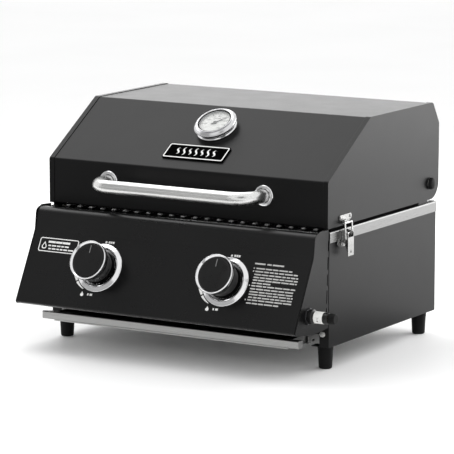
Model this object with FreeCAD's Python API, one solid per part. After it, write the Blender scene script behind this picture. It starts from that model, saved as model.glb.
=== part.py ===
import FreeCAD, Part
import os, math
from FreeCAD import Vector as V

# Two-burner table-top gas barbecue grill.
# Frame: +Z up, floor at Z = 0, front of the grill towards -Y, the gas inlet on the +X side.
# All geometry is laid out on a working datum (X = 0 on the symmetry plane of the body,
# Y = 0 on the front face of the lid) and shifted once at the end so that the origin is
# the centre of the bounding box at floor level.

# ---------------------------------------------------------------- driving dimensions (mm)
W        = 560.0     # width over the lid and the base
T        = 1.2       # black painted sheet
TS       = 1.0       # stainless sheet
OX, OY   = 19.0, 135.5   # shift from the working datum to the origin

LID_BOT  = 242.2     # lower edge of the lid
LID_Y1, LID_Z1 = 0.0, 320.5      # bend between the front and the slanted face
LID_Y2, LID_Z2 = 146.7, 413.3    # bend between the slanted face and the top
LID_Y3, LID_Z3 = 376.4, 413.3    # rear edge of the top
LID_Y4, LID_Z4 = 399.9, 375.7    # rear chamfer
LID_REAR_Z = 272.0               # lower end of the rear wall
PIV_Y, PIV_Z = 368.0, 271.0      # lid pivot
CAP_IN   = 9.5       # flange of the lid end panels over the main sheet
PROUD    = 1.0

BASE_Y0, BASE_Y1 = 4.5, 391.6    # base, front and rear
BASE_BOT = 39.5
RIM_Z    = 236.5     # top of the stainless side rims
STRIP_Z0 = 218.0
GRATE_Z  = 233.0     # ledge under the grates
FB_X, FB_Y0, FB_Y1 = 268.0, 22.0, 356.0

CP_Y2, CP_Z2 = -47.8, 201.1      # control panel: upper end of the slanted face
CP_Y3, CP_Z3 = -111.1, 81.3      # lower front corner
KNOB_X   = 126.0
KNOB_S   = 57.5      # knob centre down the slanted face
KNOB_H   = 45.0      # knob face above the panel
KNOB_R   = 35.1
BEZ_R    = 43.5
PUSH     = 3.0

HAN_X, HAN_Z = 156.0, 289.0      # handle posts
HAN_Y    = -56.0
HAN_R    = 11.5
HAN_BEND = 36.0

THERM_X  = 5.3
THERM_S  = 114.0     # thermometer centre up the slanted lid face
THERM_R  = 38.3
BADGE_S0, BADGE_S1, BADGE_W = 25.5, 63.5, 122.0

LEG_X, LEG_Y0, LEG_Y1 = 262.5, 24.5, 363.5
TRAY_Y0, TRAY_Z0, TRAY_Z1, TRAY_X = -59.5, 46.2, 60.0, 257.7
INLET_Y, INLET_Z = -67.0, 106.5
NUT_TURN = 42.0
LATCH_Y  = 52.0

# ---------------------------------------------------------------- helpers
out = {}

def node(name, *shapes):
    out.setdefault(name, []).extend(shapes)

def yz(p, x=0.0):
    return V(x, p[0], p[1])

def xz(p, y=0.0):
    return V(p[0], y, p[1])

def xy(p, z=0.0):
    return V(p[0], p[1], z)

def offset_poly(pts, d):
    """Closed polygon (clockwise seen with Y right, Z up) grown outwards by d."""
    n = len(pts); res = []
    for i in range(n):
        p0, p1, p2 = pts[i-1], pts[i], pts[(i+1) % n]
        a = (p1[0]-p0[0], p1[1]-p0[1]); b = (p2[0]-p1[0], p2[1]-p1[1])
        la, lb = math.hypot(*a), math.hypot(*b)
        na = (-a[1]/la, a[0]/la); nb = (-b[1]/lb, b[0]/lb)
        k = 1+na[0]*nb[0]+na[1]*nb[1]
        res.append((p1[0]+d*(na[0]+nb[0])/k, p1[1]+d*(na[1]+nb[1])/k))
    return res

def _bend(p0, p1, p2, r):
    """Tangent points and centre of a round corner."""
    a = ((p0[0]-p1[0]), (p0[1]-p1[1])); b = ((p2[0]-p1[0]), (p2[1]-p1[1]))
    la, lb = math.hypot(*a), math.hypot(*b)
    a = (a[0]/la, a[1]/la); b = (b[0]/lb, b[1]/lb)
    c = max(-1, min(1, a[0]*b[0]+a[1]*b[1]))
    th = math.acos(c)
    d = r/math.tan(th/2)
    t1 = (p1[0]+a[0]*d, p1[1]+a[1]*d); t2 = (p1[0]+b[0]*d, p1[1]+b[1]*d)
    m = (a[0]+b[0], a[1]+b[1]); lm = math.hypot(*m)
    h = r/math.sin(th/2)
    cen = (p1[0]+m[0]/lm*h, p1[1]+m[1]/lm*h)
    return t1, t2, cen

def _arc(cen, r, t1, t2, to):
    m = ((t1[0]+t2[0])/2-cen[0], (t1[1]+t2[1])/2-cen[1]); l = math.hypot(*m)
    mid = (cen[0]+m[0]/l*r, cen[1]+m[1]/l*r)
    return Part.Arc(to(t1), to(mid), to(t2)).toShape()

def face(pts, radii=None, to=yz):
    """Closed polygon with rounded corners as a face."""
    n = len(pts)
    radii = radii or [0]*n
    if not isinstance(radii, (list, tuple)):
        radii = [radii]*n
    ins, outs, arcs = [], [], []
    for i in range(n):
        p0, p1, p2 = pts[i-1], pts[i], pts[(i+1) % n]
        if radii[i] > 0:
            t1, t2, c = _bend(p0, p1, p2, radii[i])
            ins.append(t1); outs.append(t2); arcs.append((c, radii[i], t1, t2))
        else:
            ins.append(p1); outs.append(p1); arcs.append(None)
    e = []
    for i in range(n):
        if arcs[i]:
            e.append(_arc(*arcs[i], to))
        a, b = outs[i], ins[(i+1) % n]
        if math.hypot(a[0]-b[0], a[1]-b[1]) > 1e-6:
            e.append(Part.LineSegment(to(a), to(b)).toShape())
    return Part.Face(Part.Wire(Part.__sortEdges__(e)))

def sheet(path, radii, t, side, to=yz):
    """Open folded sheet profile: the path is one skin, the other lies t to its side
    (+1 left of travel, -1 right)."""
    n = len(path)
    if not isinstance(radii, (list, tuple)):
        radii = [radii]*(n-2)
    A, B = [], []
    def off(p, q, k):
        d = (q[0]-p[0], q[1]-p[1]); l = math.hypot(*d)
        return (-d[1]/l*t*side+k[0], d[0]/l*t*side+k[1])
    A.append(('p', path[0])); B.append(('p', off(path[0], path[1], path[0])))
    for i in range(1, n-1):
        p0, p1, p2 = path[i-1], path[i], path[i+1]
        r = radii[i-1]
        cr = (p1[0]-p0[0])*(p2[1]-p1[1])-(p1[1]-p0[1])*(p2[0]-p1[0])
        same = (cr > 0) == (side > 0)
        if r <= 0:
            r = 1e-3
        if same and r < t+0.2:
            r = t+0.2
        t1, t2, c = _bend(p0, p1, p2, r)
        ro = r-t if same else r+t
        o1 = (c[0]+(t1[0]-c[0])*ro/r, c[1]+(t1[1]-c[1])*ro/r)
        o2 = (c[0]+(t2[0]-c[0])*ro/r, c[1]+(t2[1]-c[1])*ro/r)
        A.append(('a', c, r, t1, t2)); B.append(('a', c, ro, o1, o2))
    A.append(('p', path[-1])); B.append(('p', off(path[-2], path[-1], path[-1])))
    e = []
    for L in (A, B):
        last = None
        for s in L:
            if s[0] == 'p':
                if last is not None:
                    e.append(Part.LineSegment(to(last), to(s[1])).toShape())
                last = s[1]
            else:
                e.append(Part.LineSegment(to(last), to(s[3])).toShape())
                e.append(_arc(s[1], s[2], s[3], s[4], to))
                last = s[4]
    e.append(Part.LineSegment(to(A[0][1]), to(B[0][1])).toShape())
    e.append(Part.LineSegment(to(A[-1][1]), to(B[-1][1])).toShape())
    return Part.Face(Part.Wire(Part.__sortEdges__(e)))

def ext_x(f, x0, x1):
    g = f.copy(); g.translate(V(x0, 0, 0)); return g.extrude(V(x1-x0, 0, 0))

def ext_y(f, y0, y1):
    g = f.copy(); g.translate(V(0, y0, 0)); return g.extrude(V(0, y1-y0, 0))

def ext_z(f, z0, z1):
    g = f.copy(); g.translate(V(0, 0, z0)); return g.extrude(V(0, 0, z1-z0))

def box(x0, x1, y0, y1, z0, z1):
    return Part.makeBox(x1-x0, y1-y0, z1-z0, V(x0, y0, z0))

def cyl(r, h, p, d):
    return Part.makeCylinder(r, h, V(*p), V(*d))

def mirror(s):
    return s.mirror(V(0, 0, 0), V(1, 0, 0))

def revolve(profile, p, d):
    """Closed (r, h) profile turned about the axis through p along d."""
    w = Part.makePolygon([V(r, 0, h) for r, h in profile]+[V(profile[0][0], 0, profile[0][1])])
    s = Part.Face(w).revolve(V(0, 0, 0), V(0, 0, 1), 360)
    s = Part.Solid(s) if s.ShapeType != 'Solid' else s
    s.Placement = FreeCAD.Placement(V(*p), FreeCAD.Rotation(V(0, 0, 1), V(*d)))
    return s

def hexa(af, h, p, d, turn=0):
    r = af/math.sqrt(3)
    w = Part.makePolygon([V(r*math.cos(math.radians(60*i+turn)), r*math.sin(math.radians(60*i+turn)), 0) for i in range(7)])
    s = Part.Face(w).extrude(V(0, 0, h))
    s.Placement = FreeCAD.Placement(V(*p), FreeCAD.Rotation(V(0, 0, 1), V(*d)))
    return s

def fuse(first, *rest):
    return first.multiFuse(list(rest)).removeSplitter()

def pan_screw(r, h, p, d, shank=2.0, depth=4.0):
    """Pan head with a cross recess; p is the seat, d points out of the head."""
    prof = [(0, -depth), (shank, -depth), (shank, 0), (r, 0), (r, h*0.45), (r*0.8, h*0.85), (r*0.4, h), (0, h)]
    s = revolve(prof, p, d)
    c = Part.makeBox(r*1.1, r*0.22, h, V(-r*0.55, -r*0.11, h*0.45)).fuse(Part.makeBox(r*0.22, r*1.1, h, V(-r*0.11, -r*0.55, h*0.45)))
    c.Placement = FreeCAD.Placement(V(*p), FreeCAD.Rotation(V(0, 0, 1), V(*d))).multiply(c.Placement)
    return s.cut(c)

# frames on the slanted lid face and on the slanted control panel
_l = math.hypot(LID_Y2-LID_Y1, LID_Z2-LID_Z1)
LE = ((LID_Y2-LID_Y1)/_l, (LID_Z2-LID_Z1)/_l)          # up the lid slope
LN = (-LE[1], LE[0])                                    # out of the lid slope
_l = math.hypot(CP_Y3-CP_Y2, CP_Z3-CP_Z2)
PE = ((CP_Y3-CP_Y2)/_l, (CP_Z3-CP_Z2)/_l)              # down the panel
PN = (PE[1], -PE[0])                                    # out of the panel
PNV = (0, PN[0], PN[1])
LNV = (0, LN[0], LN[1])

def lid_pt(x, s, h=0.0):
    return (x, LID_Y1+LE[0]*s+LN[0]*h, LID_Z1+LE[1]*s+LN[1]*h)

def pan_pt(x, s, h=0.0):
    return (x, CP_Y2+PE[0]*s+PN[0]*h, CP_Z2+PE[1]*s+PN[1]*h)

# ================================================================ LID
lid_path = [(7.0, LID_BOT), (0.0, LID_BOT), (LID_Y1, LID_Z1), (LID_Y2, LID_Z2), (LID_Y3, LID_Z3),
            (LID_Y4, LID_Z4), (LID_Y4, LID_REAR_Z)]
shell = ext_x(sheet(lid_path, [2.2, 6, 6, 8, 8], T, -1), -278.6, 278.6)
for x in (-HAN_X, HAN_X):
    shell = shell.cut(cyl(3.2, 6, (x, -2, HAN_Z), (0, 1, 0)))
shell = shell.cut(cyl(5.2, 8, lid_pt(THERM_X, THERM_S, -4), LNV))
node("lid_shell", shell)

outline = [(0.0, LID_BOT), (LID_Y1, LID_Z1), (LID_Y2, LID_Z2), (LID_Y3, LID_Z3), (LID_Y4, LID_Z4), (LID_Y4, LID_BOT)]
cap_out = offset_poly(outline, PROUD)
cap_out = [(cap_out[0][0], LID_BOT-0.2)]+cap_out[1:5]+[(cap_out[5][0], LID_BOT-0.2)]
cap_in = offset_poly(outline, 0.08)
XC = W/2
cap = ext_x(face(cap_out, [1.5, 7, 7, 9, 9, 30.5]), XC-CAP_IN, XC)
hollow = ext_x(face(cap_in, [0, 6.08, 6.08, 8.08, 8.08, 0]), XC-CAP_IN-1, XC-T)
cap = cap.cut(hollow)
cap = cap.cut(box(XC-CAP_IN-1, XC-T, -0.05, 402, 240, 244.2))
cap = cap.cut(box(XC-CAP_IN-1, XC-T, 360, 404, 240, 286.0))
cap = cap.cut(cyl(4.1, 20, (XC-10, PIV_Y, PIV_Z), (1, 0, 0)))
for y in (LATCH_Y-11.8, LATCH_Y+21.5):
    cap = cap.cut(cyl(1.5, 6, (XC-3, y, 255.2), (1, 0, 0)))
node("lid_end_right", cap)
node("lid_end_left", mirror(cap))

# handle: thick tube bent at both ends, rosettes and screws
def handle():
    x, y, z, r, R = HAN_X, HAN_Y, HAN_Z, HAN_R, HAN_BEND
    k = R*(1-math.cos(math.radians(45)))
    pts = [Part.LineSegment(V(-x, -3.0, z), V(-x, y+R, z)).toShape(),
           Part.Arc(V(-x, y+R, z), V(-x+k, y+k, z), V(-x+R, y, z)).toShape(),
           Part.LineSegment(V(-x+R, y, z), V(x-R, y, z)).toShape(),
           Part.Arc(V(x-R, y, z), V(x-k, y+k, z), V(x, y+R, z)).toShape(),
           Part.LineSegment(V(x, y+R, z), V(x, -3.0, z)).toShape()]
    w = Part.Wire(pts)
    c = Part.Wire(Part.makeCircle(r, V(-x, -3.0, z), V(0, -1, 0)))
    s = w.makePipeShell([c], True, False)
    return s if s.ShapeType == 'Solid' else Part.Solid(s)
tube = handle()
for x in (-HAN_X, HAN_X):
    tube = tube.cut(cyl(2.55, 18, (x, -0.5, HAN_Z), (0, -1, 0)))
node("lid_handle", tube)
for x in (-HAN_X, HAN_X):
    node("handle_rosettes", revolve([(2.7, 0), (18.2, 0), (18.2, 1.6), (16.0, 3.0), (2.7, 3.0)], (x, 0, HAN_Z), (0, -1, 0)))
    s = cyl(2.5, 20, (x, T+0.5, HAN_Z), (0, -1, 0))
    node("handle_screws", fuse(s, cyl(5.5, 3.2, (x, T, HAN_Z), (0, 1, 0))).cut(hexa(4, 2, (x, T+1.6, HAN_Z), (0, 1, 0))))

# thermometer
def tp(h):
    return lid_pt(THERM_X, THERM_S, h)
node("thermometer_case", revolve([(5.3, 0.0), (35.6, 0.0), (36.5, 1.0), (36.5, 2.6), (35.0, 4.2), (33.5, 5.0), (33.5, 10.0), (29.5, 10.0), (29.5, 3.0), (5.3, 3.0)], tp(0), LNV))
node("thermometer_bezel", revolve([(29.6, 10.2), (36.4, 10.2), (THERM_R, 10.9), (THERM_R, 12.6), (THERM_R-0.9, 13.6), (32.3, 17.9), (31.0, 18.4), (29.6, 18.2)], tp(0), LNV))
node("thermometer_dial", revolve([(1.2, 11.0), (29.3, 11.0), (29.3, 12.0), (1.2, 12.0)], tp(0), LNV))
node("thermometer_glass", revolve([(0, 15.6), (29.4, 15.6), (29.4, 17.0), (0, 17.0)], tp(0), LNV))
needle = revolve([(0, 10.0), (1.1, 10.0), (1.1, 12.5), (3.0, 12.5), (3.0, 14.2), (0, 14.2)], (0, 0, 0), (0, 0, 1))
nb = Part.Face(Part.makePolygon([V(-8, 1.3, 13.0), V(22, 0.35, 13.0), V(23.5, 0, 13.0), V(22, -0.35, 13.0), V(-8, -1.3, 13.0), V(-8, 1.3, 13.0)])).extrude(V(0, 0, 0.7))
needle = needle.fuse(nb)
# local x to the right (+X), local z out of the lid slope, needle resting up to the right
rot = FreeCAD.Rotation(V(1, 0, 0), V(0, LE[0], LE[1]), V(0, LN[0], LN[1]), 'ZXY')
needle.Placement = FreeCAD.Placement(V(*tp(0)), rot.multiply(FreeCAD.Rotation(V(0, 0, 1), 42)))
node("thermometer_needle", needle)
node("thermometer_stem", revolve([(0, -58), (3.0, -58), (3.0, -4.0), (5.0, -4.0), (5.0, 3.02), (9, 3.02), (9, 5.0), (0, 5.0)], tp(0), LNV))
nut = hexa(16, 4, tp(-T-4.05), LNV).cut(cyl(5.08, 8, tp(-T-6), LNV))
node("thermometer_nut", nut)

# plain badge on the slanted face
bp = [(-BADGE_W/2, BADGE_S0), (BADGE_W/2, BADGE_S0), (BADGE_W/2, BADGE_S1), (-BADGE_W/2, BADGE_S1)]
badge = face(bp, 3.0, to=lambda p, z=0.0: V(*lid_pt(p[0], p[1], 0.0))).extrude(V(0, LN[0]*3.0, LN[1]*3.0))
node("badge_plate", badge)

# latch keepers on the lid ends, hooks turned up
def keeper():
    y0, y1 = LATCH_Y-15.0, LATCH_Y+26.0
    pl = ext_x(face([(y0, 250.5), (y1, 250.5), (y1, 260), (y0, 260)], 3.5), XC, XC+1.5)
    prof = sheet([(XC+1.5, 256.0), (XC+1.5, 244.6), (XC+7.4, 244.6), (XC+7.4, 251.5)], [2.2, 2.2], 1.5, 1, to=xz)
    h1 = ext_y(prof, LATCH_Y-8.5, LATCH_Y+8.5)
    k = fuse(pl, h1)
    return k
k = keeper()
for y in (LATCH_Y-11.8, LATCH_Y+21.5):
    k = k.cut(cyl(1.6, 6, (XC-1, y, 255.2), (1, 0, 0)))
node("latch_keepers", k, mirror(k))
for sx in (1, -1):
    for y in (LATCH_Y-11.8, LATCH_Y+21.5):
        s = revolve([(0, -2.8), (1.5, -2.8), (1.5, 0), (3.0, 0), (2.6, 1.1), (1.2, 1.7), (0, 1.7)], (XC+1.5, y, 255.2), (1, 0, 0))
        node("keeper_rivets", s if sx > 0 else mirror(s))

# pivot bolts, turning in the hinge brackets, with black caps outside
bolt = fuse(cyl(4.0, 12.0, (XC-8.5, PIV_Y, PIV_Z), (1, 0, 0)), hexa(13, 5.0, (XC-13.4, PIV_Y, PIV_Z), (1, 0, 0)))
node("pivot_bolts", bolt, mirror(bolt))
wsh = revolve([(4.1, 0), (9.2, 0), (9.2, 0.9), (8.8, 1.3), (4.1, 1.3)], (XC, PIV_Y, PIV_Z), (1, 0, 0))
node("pivot_bolts", wsh, mirror(wsh))
pc = revolve([(4.1, 1.4), (10.6, 1.4), (10.6, 4.6), (9.0, 7.4), (4.8, 8.5), (0, 8.6), (0, 3.7), (4.1, 3.7)], (XC, PIV_Y, PIV_Z), (1, 0, 0))
node("pivot_caps", pc, mirror(pc))

# ================================================================ BASE
XO = W/2-0.2          # outer face of the side panels
SP_TOP = RIM_Z-TS-0.5
def side_panel():
    pl = ext_x(face([(BASE_Y0, BASE_BOT), (BASE_Y1, BASE_BOT), (BASE_Y1, SP_TOP), (BASE_Y0, SP_TOP)], [2, 2, 0, 0]), XO-T, XO)
    fl = box(XO-18, XO-T/2, BASE_Y0, BASE_Y0+T, BASE_BOT+1, 226)
    rl = box(XO-16, XO-T/2, BASE_Y1-T, BASE_Y1, BASE_BOT+1, 218.4)
    bl = box(XO-34, XO-T/2, BASE_Y0+0.5, BASE_Y1-0.5, BASE_BOT, BASE_BOT+T)
    s = fuse(pl, fl, rl, bl)
    for y in (LEG_Y0, LEG_Y1):
        s = s.cut(cyl(3.2, 6, (LEG_X, y, BASE_BOT-2), (0, 0, 1)))
    for y in (LATCH_Y-9, LATCH_Y+9):
        s = s.cut(cyl(1.6, 6, (XO-3, y, 211.5), (1, 0, 0)))
    return s
sp = side_panel()
node("side_panel_right", sp)
node("side_panel_left", mirror(sp))

rp = fuse(box(-263.4, 263.4, BASE_Y1-2*T-0.1, BASE_Y1-T-0.1, BASE_BOT+1.4, 228.0),
          box(-263.4, 263.4, BASE_Y1-20, BASE_Y1-T-0.2, BASE_BOT+1.4, BASE_BOT+1.4+T))
for i in range(12):
    x = -209+i*38
    rp = rp.cut(ext_y(face([(x-13, 196), (x+13, 196), (x+13, 202), (x-13, 202)], 2.9, to=xz), BASE_Y1-5, BASE_Y1+1))
    rp = rp.cut(ext_y(face([(x-13, 184), (x+13, 184), (x+13, 190), (x-13, 190)], 2.9, to=xz), BASE_Y1-5, BASE_Y1+1))
node("rear_panel", rp)

# stainless firebox: tub, funnel floor and folded rims
def firebox():
    a = box(-FB_X-TS, FB_X+TS, FB_Y0-TS, FB_Y1+TS, 110, RIM_Z)
    b = box(-FB_X, FB_X, FB_Y0, FB_Y1, 110, RIM_Z+1)
    def rect(x, y0, y1, z):
        return Part.makePolygon([V(-x, y0, z), V(x, y0, z), V(x, y1, z), V(-x, y1, z), V(-x, y0, z)])
    f1 = Part.makeLoft([rect(FB_X+TS, FB_Y0-TS, FB_Y1+TS, 110), rect(71, 149, 231, 78)], True, True)
    f2 = Part.makeLoft([rect(FB_X, FB_Y0, FB_Y1, 110.01), rect(70, 150, 230, 77.9)], True, True)
    s = a.fuse(f1).cut(b).cut(f2)
    s = s.cut(box(-FB_X, FB_X, FB_Y0-3, FB_Y0+0.5, GRATE_Z-TS/2, RIM_Z+1))
    s = s.cut(box(-FB_X, FB_X, FB_Y1-0.5, FB_Y1+3, GRATE_Z-TS/2, RIM_Z+1))
    sr = ext_y(sheet([(FB_X, RIM_Z), (W/2+1.2, RIM_Z), (W/2+1.2, STRIP_Z0)], [2.5], TS, -1, to=xz), BASE_Y0+0.3, BASE_Y1+0.8)
    fr = ext_x(sheet([(FB_Y0, GRATE_Z), (BASE_Y0+3.2, GRATE_Z), (BASE_Y0+3.2, 219)], [2.0], TS, 1), -FB_X, FB_X)
    rr = ext_x(sheet([(FB_Y1, GRATE_Z), (BASE_Y1+0.6, GRATE_Z), (BASE_Y1+0.6, 219)], [2.0], TS, -1), -FB_X-10, FB_X+10)
    led = []
    for x in (-KNOB_X, KNOB_X):
        for y0, y1 in ((FB_Y0-0.5, FB_Y0+8), (FB_Y1-8, FB_Y1+0.5)):
            led.append(box(x-48, x-30, y0, y1, 168.4, 169.4)); led.append(box(x+30, x+48, y0, y1, 168.4, 169.4))
    s = fuse(s, *led)
    for x in (-KNOB_X, KNOB_X):
        s = s.cut(cyl(13.4, 6, (x, FB_Y0-4, 148), (0, 1, 0)))
    rims = []
    for r in (sr, mirror(sr), fr, rr):
        r = r.cut(s)
        for x in (-1, 1):
            r = r.cut(cyl(2.0, 4, (x*(W/2-8.4), 336, RIM_Z-2), (0, 0, 1)))
        rims.append(r)
    return s, rims
tub, rims = firebox()
node("firebox", tub)
node("firebox_rims", *rims)

# front brace behind the control panel
fb = box(-261.0, 261.0, BASE_Y0+T+0.1, BASE_Y0+2*T+0.1, 96, 216)
for x in (-KNOB_X, KNOB_X):
    fb = fb.cut(cyl(15, 6, (x, BASE_Y0, 148), (0, 1, 0)))
for i in range(7):
    for x in (-216, 0, 216):
        fb = fb.cut(ext_y(face([(x-36+i*11, 186), (x-31+i*11, 186), (x-31+i*11, 206), (x-36+i*11, 206)], 2.3, to=xz), BASE_Y0, BASE_Y0+6))
node("front_brace", fb)

# control panel: rolled top, slanted face, returned bottom
XP = W/2-2.2
cp_path = [(3.4, 234.6), (-40.0, 241.6), (CP_Y2+0.6, 201.2), (CP_Y3+0.7, CP_Z3+0.9), (-99.0, 77.6), (-40.0, 73.2)]
cpf = sheet(cp_path, [15.0, 30.0, 3.0, 3.0], T, 1)
cp = ext_x(cpf, -XP, XP)
for x in (-KNOB_X, KNOB_X):
    cp = cp.cut(cyl(9.0, 10, pan_pt(x, KNOB_S, -6), PNV))
node("control_panel", cp)

def panel_end():
    prof = [(1.8, 240.3), (-26.0, 242.2), (-43.5, 236.5), (CP_Y2-0.2, 201.1), (CP_Y3+0.2, CP_Z3-1.0), (-97.0, 77.2), (-53.0, 71.6), (-26.0, 72.6), (1.8, 74.8)]
    rad = [1.0, 10.0, 12.0, 30.0, 5.0, 12.0, 20.0, 20.0, 1.0]
    pl = ext_x(face(prof, rad), W/2-T, W/2)
    # shallow return flange just inside the main sheet
    inner = [(1.8, 231.5), (-27.0, 235.6), (-39.5, 231.0), (CP_Y2+3.8, 200.2), (-104.6, 84.9), (-95.0, 80.4), (-53.0, 76.4), (-26.0, 76.4), (1.8, 78.2)]
    s = pl
    for z0, z1 in ((205, 222.5), (173.5, 195.5), (146.5, 166.5), (116.5, 139.5), (100.8, 110)):
        y0, y1 = -5.4+0.05*(z0-115), -5.4+0.05*(z1-115)
        s = s.cut(ext_x(face([(y0, z0), (y0+2.9, z0), (y1+2.9, z1), (y1, z1)], 0.9), W/2-3, W/2+1))
    s = s.cut(cyl(8.6, 6, (W/2-4, INLET_Y, INLET_Z), (1, 0, 0)))
    return s
pe = panel_end()
node("panel_end_right", pe)
pl_ = mirror(pe)
node("panel_end_left", pl_)

# bezels on the panel around each knob
for nm, x in (("left", -KNOB_X), ("right", KNOB_X)):
    node("knob_bezels", revolve([(29.8, 0), (BEZ_R, 0), (BEZ_R, 2.2), (BEZ_R-1.4, 4.3), (40.2, 5.2), (36.4, 5.2), (34.4, 3.6), (33.2, 2.8), (29.8, 2.4)], pan_pt(x, KNOB_S), PNV))
    # knob: black skirt and chrome ring, stem, plunger collar
    p = pan_pt(x, KNOB_S)
    kb = revolve([(5.2, 9.2), (28.2, 9.2), (28.6, 12), (30.8, KNOB_H-15.6), (33.2, KNOB_H-13.8), (33.2, KNOB_H-8.6), (31.2, KNOB_H-7.7), (31.2, KNOB_H-4.8), (27.3, KNOB_H-4.8), (27.3, KNOB_H-1.6), (0, KNOB_H-1.2), (0, 26), (5.2, 26)], p, PNV)
    node("knob_"+nm, kb)
    node("knob_ring_"+nm, revolve([(27.5, KNOB_H-2.4), (28.6, KNOB_H-0.9), (30.4, KNOB_H-0.1), (33.0, KNOB_H), (34.5, KNOB_H-0.9), (KNOB_R, KNOB_H-2.6), (KNOB_R, KNOB_H-6.4), (34.2, KNOB_H-7.4), (31.3, KNOB_H-7.4), (31.3, KNOB_H-4.7), (27.5, KNOB_H-4.7)], p, PNV))
    stem = cyl(4.0, 51.8, pan_pt(x, KNOB_S, -26.0), PNV)
    flat = box(-5, 5, 3.0, 6, 36.0, 60)
    flat.Placement = FreeCAD.Placement(V(*pan_pt(x, KNOB_S, -26.0)), FreeCAD.Rotation(V(0, 0, 1), V(*PNV)))
    node("valve_stem_"+nm, stem.cut(flat))
    node("valve_plunger_"+nm, revolve([(4.05, -17.4), (6.6, -17.4), (6.6, -14.6), (4.05, -14.6)], p, PNV))
    # valve body: tilted barrel, block on the manifold, jet pointing to the venturi
    vb = revolve([(4.3, -12.0), (12.0, -12.0), (12.0, -20.0), (9.5, -23.5), (9.5, -33.0), (0, -33.0), (0, -29.6), (4.6, -29.6), (4.6, -22.5), (6.9, -22.5), (6.9, -14.2), (4.3, -14.2)], p, PNV)
    c = pan_pt(x, KNOB_S, -33.0)
    blk = box(x-9, x+9, c[1]-6, c[1]+12, INLET_Z+8.02, 157.0)
    blk = blk.cut(cyl(9.2, 40, pan_pt(x, KNOB_S, 0.0), (0, -PN[0], -PN[1])))
    jet = cyl(3.6, 13.0, (x, c[1]+11, 148), (0, 1, 0))
    node("gas_valves", fuse(vb, blk, jet))
VC = pan_pt(0, KNOB_S, -33.0)
MAN_Y, MAN_Z = VC[1]+3.0, INLET_Z
feed_x = KNOB_X+92
man = cyl(8.0, feed_x+KNOB_X+18, (-KNOB_X-18, MAN_Y, MAN_Z), (1, 0, 0))
# elbow blocks and feed pipe out to the inlet on the right
f1 = cyl(6.0, abs(INLET_Y-MAN_Y), (feed_x, MAN_Y, MAN_Z), (0, -1, 0))
f3 = cyl(6.0, W/2-T-0.3-feed_x, (feed_x, INLET_Y, INLET_Z), (1, 0, 0))
node("gas_manifold", fuse(man, f1, f3, box(feed_x-9, feed_x+9, MAN_Y-9, MAN_Y+9, MAN_Z-9, MAN_Z+9),
                          box(feed_x-8, feed_x+8, INLET_Y-8, INLET_Y+8, INLET_Z-8, INLET_Z+8)))

# inlet: nipple, hex lock nut, black collar, paper tag band, dust cap
nip = fuse(cyl(6.3, 51.4, (W/2-T-0.2, INLET_Y, INLET_Z), (1, 0, 0)),
           cyl(8.2, 12.0, (W/2-T-0.2, INLET_Y, INLET_Z), (1, 0, 0)))
for i in range(4):
    x0 = W/2+43.0+i*1.5
    nip = nip.cut(revolve([(5.75, 0), (7, -0.6), (7, 0.6)], (x0, INLET_Y, INLET_Z), (1, 0, 0)))
node("gas_inlet_nipple", nip)
node("gas_inlet_nut", hexa(25, 3.4, (W/2+0.05, INLET_Y, INLET_Z), (1, 0, 0), NUT_TURN).cut(cyl(8.3, 10, (W/2-2, INLET_Y, INLET_Z), (1, 0, 0))))
node("gas_inlet_collar", revolve([(8.3, 3.6), (11.8, 3.6), (12.5, 4.4), (12.5, 11.0), (10.3, 13.0), (10.3, 38.6), (9.0, 40.6), (6.5, 40.6), (6.5, 12.1), (8.3, 12.1)], (W/2, INLET_Y, INLET_Z), (1, 0, 0)))
node("gas_inlet_tag", revolve([(10.4, 15.0), (10.9, 15.0), (10.9, 35.0), (10.4, 35.0)], (W/2, INLET_Y, INLET_Z), (1, 0, 0)))
capb = revolve([(6.8, 41.6), (9.4, 41.6), (9.7, 42.2), (9.3, 51.4), (7.8, 52.9), (0, 53.0), (0, 51.0), (6.8, 51.0)], (W/2, INLET_Y, INLET_Z), (1, 0, 0))
for i in range(12):
    a = math.radians(30*i)
    g = box(W/2+43.2, W/2+54, -0.9, 0.9, 8.6, 12)
    g.Placement = FreeCAD.Placement(V(0, INLET_Y, INLET_Z), FreeCAD.Rotation(V(1, 0, 0), 30*i))
    capb = capb.cut(g)
node("gas_inlet_cap", capb)

# burners: stainless tubes with ports, venturi at the front
for nm, x in (("left", -KNOB_X), ("right", KNOB_X)):
    t1 = cyl(12.7, 302, (x, FB_Y0+8, 148), (0, 1, 0)).fuse(cyl(11.0, 36, (x, FB_Y0+9-36, 148), (0, 1, 0)))
    t1 = t1.cut(cyl(11.7, 299, (x, FB_Y0+9.5, 148), (0, 1, 0))).cut(cyl(10.0, 50, (x, FB_Y0-30, 148), (0, 1, 0)))
    for i in range(13):
        t1 = t1.cut(box(x-14, x+14, FB_Y0+40+i*20, FB_Y0+42.2+i*20, 150, 152.5))
    t1 = t1.fuse(box(x-1, x+1, FB_Y0+310-0.5, FB_Y1-1.0, 143, 153)).fuse(box(x-10, x+10, FB_Y1-1.0, FB_Y1-0.1, 140, 156))
    node("burners", t1)
    node("heat_tents", ext_y(sheet([(x-50, 169.6), (x-30, 170.5), (x, 194), (x+30, 170.5), (x+50, 169.6)], [3, 3, 3], TS, 1, to=xz), FB_Y0+0.8, FB_Y1-0.8))

# igniter electrodes beside the burners
for x in (-KNOB_X+24, KNOB_X-24):
    e = fuse(cyl(3.5, 26, (x, FB_Y0-6, 160), (0, 1, 0)), cyl(1.2, 14, (x, FB_Y0+19, 160), (0, 1, 0)))
    node("igniter_electrodes", e)
fbx = out["firebox"][0]
for x in (-KNOB_X+24, KNOB_X-24):
    fbx = fbx.cut(cyl(3.7, 4, (x, FB_Y0-3, 160), (0, 1, 0)))
out["firebox"] = [fbx]

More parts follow.
